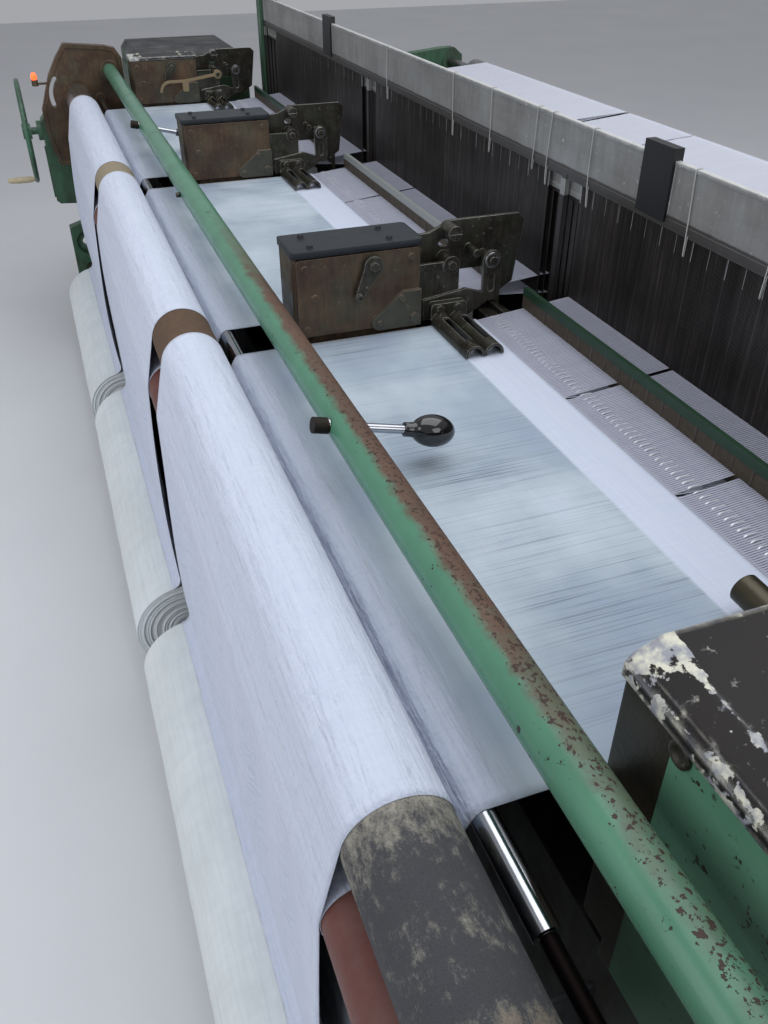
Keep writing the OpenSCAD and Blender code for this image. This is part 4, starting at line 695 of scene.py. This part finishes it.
bare = times(tree, calc(tree, "MAXIMUM", calc(tree, "MAXIMUM", chip, edge_line), worn["Mask"]), on_receiver)
bare = calc(tree, "MAXIMUM", bare, on_far)
on_receiver = calc(tree, "MAXIMUM", on_receiver, is_far)
black = mix(tree, on_receiver, mix(tree, noise(tree, place, 30.0, 5.0), tone(52, 57, 62), tone(30, 33, 37)),
    mix(tree, noise(tree, place, 12.0, 5.0), tone(20, 18, 21), tone(36, 31, 30)))
primer = mix(tree, fade(tree, noise(tree, place, 70.0, 5.0), 0.4, 0.6), tone(214, 212, 196), tone(150, 152, 160))
wire(tree, shader, Base_Color=mix(tree, bare, black, primer),
    Roughness=fade(tree, bare, 0.0, 1.0, 0.42, 0.36),
    Normal=bump(tree, calc(tree, "SUBTRACT", 1.0, bare), 0.0008, worn["Normal"]))
paint_node("unit_lids", lid_paint)

# Reeds: flat steel dents bound between a baulk and a green rib, one for each cloth, on the sley.
reed_finish, tree, shader, place = new_finish("reed_finish", rough=0.4)
split = put(tree, "SeparateXYZ", {0: place})
rib_foot = 1.001
is_rib = fade(tree, split[2], rib_foot - 0.0002, rib_foot + 0.0002)
rib = mix(tree, noise(tree, place, 20.0, 5.0), tone(34, 66, 46), tone(24, 48, 34))
pale = fade(tree, calc(tree, "ABSOLUTE", split[0]), 0.545, 0.55, 1.0, 0.0)
rib = mix(tree, pale, rib, tone(148, 152, 150))
strip = mix(tree, noise(tree, place, 300.0, 4.0, squeeze=(1.0, 0.1, 0.1)),
    tone(86, 79, 68), tone(56, 50, 44))
wire(tree, shader, Base_Color=mix(tree, is_rib, strip, rib), Normal=use_group(tree, edge_kit, Width=0.002)["Normal"])
paint_node("reeds", reed_finish)


def bars(low, high):
    """Boxes from arrays of lowest and highest corners: corner k takes high where bit k is set."""
    low, high = np.asarray(low, float), np.asarray(high, float)
    pick = (np.arange(8)[:, None] >> np.arange(3)) & 1
    points = np.where(pick[None], high[:, None], low[:, None]).reshape(-1, 3)
    quads = np.array([[0, 2, 3, 1], [4, 5, 7, 6], [0, 1, 5, 4], [2, 6, 7, 3], [0, 4, 6, 2], [1, 3, 7, 5]])
    return points, (quads[None] + 8 * np.arange(len(low))[:, None, None]).reshape(-1, 4)


def spread(step, inset=0.006):
    """Places across all three cloths, an even step apart inside each width."""
    one = np.arange(-panel_w / 2 + inset + step / 2, panel_w / 2 - inset, step)
    return np.concatenate([one + centre for centre in centres])


finish, tree, shader, place = new_finish("dent_steel", rough=0.45, metal=0.5)
skin = mix(tree, noise(tree, place, 90.0, 4.0), tone(128, 118, 102), tone(92, 84, 74))
wire(tree, shader, Base_Color=skin)
dent_step, dent_half = 0.0018, 0.00045
dent_front, dent_back, dent_foot, dent_top = -0.1143, -0.1057, 0.926, 1.0014
x = spread(dent_step)
one = np.ones_like(x)
points, faces = bars(np.column_stack((x - dent_half, dent_front * one, dent_foot * one)),
    np.column_stack((x + dent_half, dent_back * one, dent_top * one)))
new_piece("reed_dents", points, faces, finish, "sley", smooth=False)

# Guide teeth: thin steel hooks set close together on a rack in front of each reed. They rise between
# the warp ends, and the projectile flies through the gaps of their mouths.
tooth_y, tooth_z, rack_z = fell_y + 0.021, cloth_z + 0.005, cloth_z - 0.068
hook = np.vstack(([[tooth_y, rack_z + 0.009]], bow(tooth_y + 0.010, tooth_z - 0.010, 0.010, 180, 90, 6),
    bow(tooth_y + 0.024, tooth_z - 0.00425, 0.00425, 90, -90, 6),
    bow(tooth_y + 0.0195, tooth_z - 0.01425, 0.00575, 90, 270, 8),
    bow(tooth_y + 0.027, tooth_z - 0.025, 0.005, 90, 0, 4), [[tooth_y + 0.032, rack_z + 0.009]]))


def plates(outline, x, wide):
    """The same outline in Y and Z as a plate at each place along X, all of one thickness."""
    count = len(outline)
    both = np.array([-wide / 2, wide / 2])
    points = np.zeros((len(x), 2, count, 3))
    points[..., 0] = x[:, None, None] + both[None, :, None]
    points[..., 1:] = outline[None, None]
    here = np.arange(count)
    rim = np.column_stack((here, np.roll(here, -1), np.roll(here, -1) + count, here + count))
    faces = []
    for k in range(len(x)):
        faces += (rim[:, ::-1] + 2 * count * k).tolist()
        faces += [(here + 2 * count * k).tolist(), (here[::-1] + count + 2 * count * k).tolist()]
    return points, faces


finish, tree, shader, place = new_finish("hook_steel", rough=0.3, metal=0.35)
wire(tree, shader, Base_Color=mix(tree, noise(tree, place, 80.0, 4.0), tone(236, 238, 244), tone(196, 198, 206)))
tooth_step, tooth_t = 0.014, 0.0026
points, faces = plates(hook[::-1], spread(tooth_step, 0.004), tooth_t)
rack_half = panel_w / 2 - 0.004
rack_low = [[centre - rack_half, tooth_y - 0.006, rack_z] for centre in centres]
rack_high = [[centre + rack_half, tooth_y + 0.034, rack_z + 0.010] for centre in centres]
rack, rack_faces = bars(rack_low, rack_high)
faces += (rack_faces + points.size // 3).tolist()
teeth = new_piece("guide_hooks", np.vstack((points.reshape(-1, 3), rack)), faces, finish, "sley",
    smooth=False)
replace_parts(teeth, "guide_teeth")

# Heald frames: aluminium rails joined by steel stays, threaded with flat steel healds, and two black
# saddles on the front frame. Four frames stand close behind each other.
heald_finish, tree, shader, place = new_finish("heald_frame_finish", rough=0.45)
split = put(tree, "SeparateXYZ", {0: place})
rail_inner = 0.215
is_rail = fade(tree, away(tree, split[2], cloth_mid), rail_inner - 0.0001, rail_inner + 0.0001)
worn = use_group(tree, edge_kit, Width=0.002, Ragged=80.0)
alu = mix(tree, noise(tree, place, 30.0, 6.0, squeeze=(0.1, 1.0, 1.0)),
    tone(186, 186, 184), tone(150, 150, 150))
alu = mix(tree, patches(tree, grime_kit, place, 7.0, 0.55), alu, tone(118, 114, 108))
alu = mix(tree, patches(tree, chip_kit, place, 120.0, 0.3), alu, tone(60, 56, 52))
alu = mix(tree, worn["Mask"], alu, tone(226, 226, 226))
lint = times(tree, fade(tree, calc(tree, "ADD", split[2],
    times(tree, noise(tree, place, 40.0, 5.0), 0.008)), 1.3205, 1.3255), 0.8)
alu = mix(tree, lint, alu, tone(232, 232, 230))
right_saddle, left_saddle = 0.902, -0.997
saddle_half = 0.0425
on_right, on_left = (calc(tree, "LESS_THAN", away(tree, split[0], middle),
    saddle_half) for middle in (right_saddle, left_saddle))
off_face = calc(tree, "GREATER_THAN", away(tree, split[1], -0.008), 0.0052)
on_front = calc(tree, "LESS_THAN", split[1], 0.001)
over_top = calc(tree, "GREATER_THAN", split[2], 1.3216)
saddle = times(tree, calc(tree, "MAXIMUM", on_right, on_left),
    calc(tree, "MAXIMUM", times(tree, off_face, on_front), over_top))
dark = mix(tree, noise(tree, place, 60.0, 5.0), tone(46, 40, 38), tone(30, 27, 26))
# The lowest band of the top rail's front face, from z 1.21 up to about 1.237, is painted dark.
dark_rail_foot = times(tree, fade(tree, split[2], 1.21, 1.211), fade(tree, calc(tree, "ADD", split[2],
    times(tree, noise(tree, place, 50.0, 4.0), 0.004)), 1.2355, 1.2385, 1.0, 0.0))
alu = mix(tree, times(tree, times(tree, dark_rail_foot, on_front), 0.85), alu, tone(64, 60, 58))
skin = mix(tree, is_rail, dark, alu)
wire(tree, shader, Base_Color=mix(tree, saddle, skin, tone(30, 30, 32)))
bright = calc(tree, "SUBTRACT", 0.55, times(tree, saddle, 0.5))
wire(tree, shader, Metallic=times(tree, is_rail, bright),
    Normal=bump(tree, noise(tree, place, 90.0, 4.0), 0.0003, worn["Normal"]))
paint_node("heald_frame_1 heald_frame_2 heald_frame_3 heald_frame_4", heald_finish)

oily_healds_and_glints, tree, shader, place = new_finish("oily_healds_and_glints", rough=0.4, metal=0.5)
strands = noise(tree, place, 260.0, 4.0, 0.7, squeeze=(1.0, 0.2, 0.02))
# Over the dark oily grey, the lighter and brightest vertical streaks are painted highlights glinting along the heald
# wires.
skin = mix(tree, fade(tree, strands, 0.35, 0.7), tone(57, 53, 52), tone(99, 93, 90))
skin = mix(tree, fade(tree, strands, 0.62, 0.76), skin, tone(134, 126, 122))
skin = mix(tree, patches(tree, grime_kit, place, 5.0, 0.7), skin, tone(42, 38, 37))
wire(tree, shader, Base_Color=skin)
shed = 0.021
first_y, frame_step, heald_t, heald_w, heald_half = -0.008, 0.014, 0.0014, 0.0024, 0.2355
for number, lift in enumerate((shed, -shed, -shed, -shed), 1):
    x = spread(0.0027) + 0.0006 * number
    one = np.ones_like(x)
    middle = first_y + frame_step * (number - 1)
    low_corner = (x - heald_t / 2, (middle - heald_w / 2) * one, (cloth_mid + lift - heald_half) * one)
    high_corner = (x + heald_t / 2, (middle + heald_w / 2) * one, (cloth_mid + lift + heald_half) * one)
    points, faces = bars(np.column_stack(low_corner), np.column_stack(high_corner))
    new_piece(f"healds_{number}", points, faces, oily_healds_and_glints, "heald_front" if number == 1 else "heald_rear",
        smooth=False)

# Tie cords: cotton strings looped round the top rail of the front frame to hold its clips, and left
# hanging under it. Each is one closed loop.
tie_cotton, tree, shader, place = new_finish("tie_cotton", rough=0.9, Specular_IOR_Level=0.2)
twist = put(tree, "TexWave", {"Vector": place, "Scale": 160.0, "Distortion": 2.0},
    bands_direction="DIAGONAL")[1]
wire(tree, shader, Base_Color=mix(tree, twist, tone(206, 206, 204), tone(172, 170, 166)),
    Normal=bump(tree, twist, 0.0004))


def closed_tube(path, radius, sides=8):
    """A round tube along a closed path: each point is the path's own plus radius times a unit
    vector that turns in the plane across the path."""
    ahead_of = np.roll(path, -1, 0) - np.roll(path, 1, 0)
    ahead_of /= np.linalg.norm(ahead_of, axis=1)[:, None]
    side = np.cross(ahead_of, [1.0, 0.0, 0.0])
    side /= np.linalg.norm(side, axis=1)[:, None]
    other = np.cross(ahead_of, side)
    turn = np.linspace(0, 2 * np.pi, sides, endpoint=False)[None, :, None]
    rings = path[:, None] + radius * (np.cos(turn) * side[:, None] + np.sin(turn) * other[:, None])
    return np.concatenate((rings, rings[:1]))


rail_top, rail_foot = cloth_mid + shed + 0.337, cloth_mid + shed + 0.236
cords = ((1.200, 0.040), (1.004, 0.038), (0.693, 0.042), (0.532, 0.040), (0.470, 0.024), (0.257, 0.035),
    (0.046, 0.040), (-0.420, 0.036))
for number, (x, hang) in enumerate(cords):
    foot = rail_foot - hang
    track = np.array([[-0.0146, rail_top], [-0.0125, rail_top + 0.0014], [-0.0035, rail_top + 0.0014],
        [-0.0014, rail_top - 0.001], [-0.0012, rail_top - 0.05], [-0.0014, rail_foot - 0.0005],
        [-0.0060, rail_foot - 0.0020], [-0.0112, rail_foot - 0.0035], [-0.0122, rail_foot - 0.010],
        [-0.0124, foot + 0.003], [-0.0134, foot], [-0.0148, foot + 0.003], [-0.0150, rail_foot + 0.002],
        [-0.0145, rail_foot + 0.040]])
    lean = 0.004 * np.sin(5.0 * number + (rail_top - track[:, 1]) * 22.0)
    track = np.column_stack((x + lean, track))
    fine = np.concatenate([np.linspace(here, after, 4, endpoint=False)
        for here, after in zip(track, np.roll(track, -1, 0))])
    for _ in range(2):
        fine = (np.roll(fine, 1, 0) + 2 * fine + np.roll(fine, -1, 0)) / 4
    new_round(f"tie_cord_{number + 1}", closed_tube(fine, 0.0011), tie_cotton, "heald_front")

# Warp: cotton ends drawn off the beam, over the back rest and through the healds to the fell, in two
# sheets that open the shed.
warp_cotton, tree, shader, place = new_finish("warp_cotton", rough=0.85, Sheen_Weight=0.2, Specular_IOR_Level=0.25)
split = put(tree, "SeparateXYZ", {0: place})
strands = noise(tree, place, 420.0, 3.0, 0.7, squeeze=(1.0, 0.01, 0.01))
skin = mix(tree, strands, tone(224, 226, 236), tone(186, 190, 206))
# Painted shade: in front of the heald eyes the same ends are painted a darker lilac grey.
front = fade(tree, split[1], -0.02, 0.06, 1.0, 0.0)
painted_shade_front = mix(tree, strands, tone(164, 166, 184), tone(118, 120, 140))
wire(tree, shader, Base_Color=mix(tree, times(tree, front, 0.7), skin, painted_shade_front),
    Normal=bump(tree, strands, 0.0005))


def warp_ends(name, x, start, stop, wide, thick, body, replaced, fan=None):
    """Flat ends side by side, each a thin box that runs from a (y, z) place to another; fan gives
    the ends' places along the machine where they stop."""
    start, stop = np.array(start), np.array(stop)
    way = (stop - start) / np.linalg.norm(stop - start)
    out = np.array([-way[1], way[0]]) * thick / 2
    ring = np.array([start - out, start + out, stop - out, stop + out])
    points = np.zeros((len(x), 2, 4, 3))
    points[..., 0] = x[:, None, None] + np.array([-wide / 2, wide / 2])[None, :, None]
    if fan is not None:
        points[..., 2:, 0] += (fan - x)[:, None, None]
    points[..., 1:] = ring[None, None]
    quads = np.array([[0, 4, 5, 1], [2, 3, 7, 6], [0, 1, 3, 2], [4, 6, 7, 5], [1, 5, 7, 3], [0, 2, 6, 4]])
    faces = (quads[None] + 8 * np.arange(len(x))[:, None, None]).reshape(-1, 4)
    made = new_piece(name, points, faces, warp_cotton, body, smooth=False)
    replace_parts(made, replaced)


eye_front, eye_back = -0.008, 0.0206
sheet_t = 0.001
rest_y, rest_z, rest_wrap = 0.945, 0.999, 0.050 + gap + sheet_t / 2
beam_y, beam_z, beam_wrap = 0.764, 0.450, 0.300 + gap + sheet_t / 2
rest_top = rest_z + rest_wrap + sheet_t / 2
end_step, tip_gap = 0.0045, 0.0056
upper, lower = spread(end_step), spread(end_step) + end_step / 2
for split_x in (1.35, 1.03, -0.21):
    upper, lower = (ends[np.abs(ends - split_x) > 0.0032] for ends in (upper, lower))
edges, fanned = (-1.735, -0.665, -0.535, 0.535, 0.665, 1.735), (-1.742, -0.610, -0.590, 0.590, 0.610, 1.742)
warp_ends("upper_ends_front", upper, (fell_y, cloth_mid), (eye_front, cloth_mid + shed), 0.0033, 0.0006,
    "upper_front", "warp_upper_front")
warp_ends("lower_ends_front", lower, (fell_y, cloth_mid), (eye_back, cloth_mid - shed), 0.0033, 0.0006,
    "lower_front", "warp_lower_front")
warp_ends("upper_ends_rear", upper, (eye_front, cloth_mid + shed), (rest_y, rest_top), 0.0036, 0.0007,
    "upper_rear", "warp_upper_rear", np.interp(upper, edges, fanned))
warp_ends("lower_ends_rear", lower, (eye_back + tip_gap, cloth_mid - shed), (rest_y, rest_top), 0.0036, 0.0006,
    "lower_rear", "warp_lower_rear", np.interp(lower, edges, fanned))

rest_out = leaving(rest_y, rest_z, rest_wrap, -1, beam_y, beam_z, beam_wrap, -1)
down = np.vstack((bow(rest_y, rest_z, rest_wrap, 89, rest_out + 90, 20),
    bow(beam_y, beam_z, beam_wrap, rest_out + 90, rest_out + 82, 5)))
down, far, out = even_steps(down, 0.02)
columns = np.linspace(-0.5, 0.5, 121)
sheets = []
for centre in centres:
    ripple = 0.0004 * np.sin(columns * 190)[None, :] * np.sin(np.pi * far / far[-1])[:, None]
    sheets.append(np.stack((np.broadcast_to(np.interp(centre + columns * 1.07, edges, fanned), (len(far), 121)),
        down[:, 0, None] + out[:, 0, None] * ripple, down[:, 1, None] + out[:, 1, None] * ripple), -1))
faces = np.vstack([grid_faces(len(far), 121) + k * len(far) * 121 for k in range(3)])
back = new_piece("back_sheet", np.stack(sheets), faces, warp_cotton, "frame")
back.modifiers.new("thickness", "SOLIDIFY").thickness = 0.0007
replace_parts(back, "warp_back_sheet")

pack_half, pack_r, barrel_r = 1.7447, 0.2994, 0.081
wrap_x = np.linspace(-pack_half, pack_half, 700)
wrap_r = pack_r + 0.0005 * np.sin(wrap_x * 2 * np.pi / 0.02)
wrap = np.vstack(([[-pack_half, barrel_r]], np.column_stack((wrap_x, wrap_r)),
    [[pack_half, barrel_r], [-pack_half, barrel_r]]))
points = lathe(wrap, (0, beam_y, beam_z), count=72)
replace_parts(new_round("wound_warp", points, warp_cotton, "warp_beam"), "warp_pack")

# Beam, motor, belts and handwheel: cast and welded parts in blue enamel, belts of black rubber, and a
# cast wheel in green enamel with a grip of yellowed plastic.
paint_node("warp_beam motor",
    machine_paint("beam_blue", tone(60, 92, 128), tone(120, 116, 110), tone(50, 56, 62), 0.3, rough=0.35))
belt_rubber, tree, shader, place = new_finish("belt_rubber", rough=0.7)
wire(tree, shader, Base_Color=mix(tree, noise(tree, place, 50.0, 4.0), tone(28, 28, 28), tone(48, 46, 44)))
paint_node("drive_belts", belt_rubber)
finish, tree, shader, place = new_finish("aged_ivory", rough=0.4)
wire(tree, shader, Base_Color=mix(tree, noise(tree, place, 60.0, 5.0), tone(206, 196, 166), tone(168, 150, 116)))
paint_node("handwheel_grip", finish)
paint_node("handwheel",
    machine_paint("wheel_green", tone(72, 116, 92), tone(140, 144, 134), tone(48, 54, 44), 0.5, rough=0.3))

# Small fittings: the lock in the receiver's front, washers under the roller nuts of the box units, a
# stud on the start tube and the red lens of the signal lamp.
disc = np.array([[0.0, 0.0], [0.0, 1.0], [0.75, 1.0], [1.0, 0.86], [1.0, 0.62], [0.45, 0.5], [0.45, 0.0]])
spots = [("lock_ring", (1.835, -0.5881, 1.102), (0, -1, 0), 0.0045, 0.0135, dark_steel, "dark_steel", "frame"),
    ("tube_stud", (-0.127, -0.6833, 1.052), (0, -1, 0), 0.011, 0.0065, dark_steel, "dark_steel", "start_bar")]
for unit, middle in (("b", 0.6), ("c", -0.6), ("d", -1.8)):
    spots.append((f"washer_{unit}_link", (middle + 0.0411, -0.181, 1.076), (1, 0, 0), 0.0022, 0.0165, bright_steel,
        "bright_steel", "frame"))
for name, base, way, deep, wide, finish, slot, body in spots:
    new_round(name, lathe(disc * [deep, wide], base, way, 40), finish, body)

finish, tree, shader, place = new_finish("lamp_lens", rough=0.15, Emission_Strength=1.6, Transmission_Weight=0.3)
glow = mix(tree, noise(tree, place, 60.0, 2.0), tone(226, 70, 34), tone(250, 120, 64))
wire(tree, shader, Base_Color=glow, Emission_Color=glow)
lens = np.array([[0.0, 0.0], [0.0, 11.6], [4.0, 12.2], [14.0, 12.0], [22.0, 9.6], [27.0, 5.0], [28.5, 0.0]]) / 1000
new_round("signal_lens", lathe(lens, (-2.1, -0.965, 1.0321), (0, 0, 1), 48), finish, "frame")
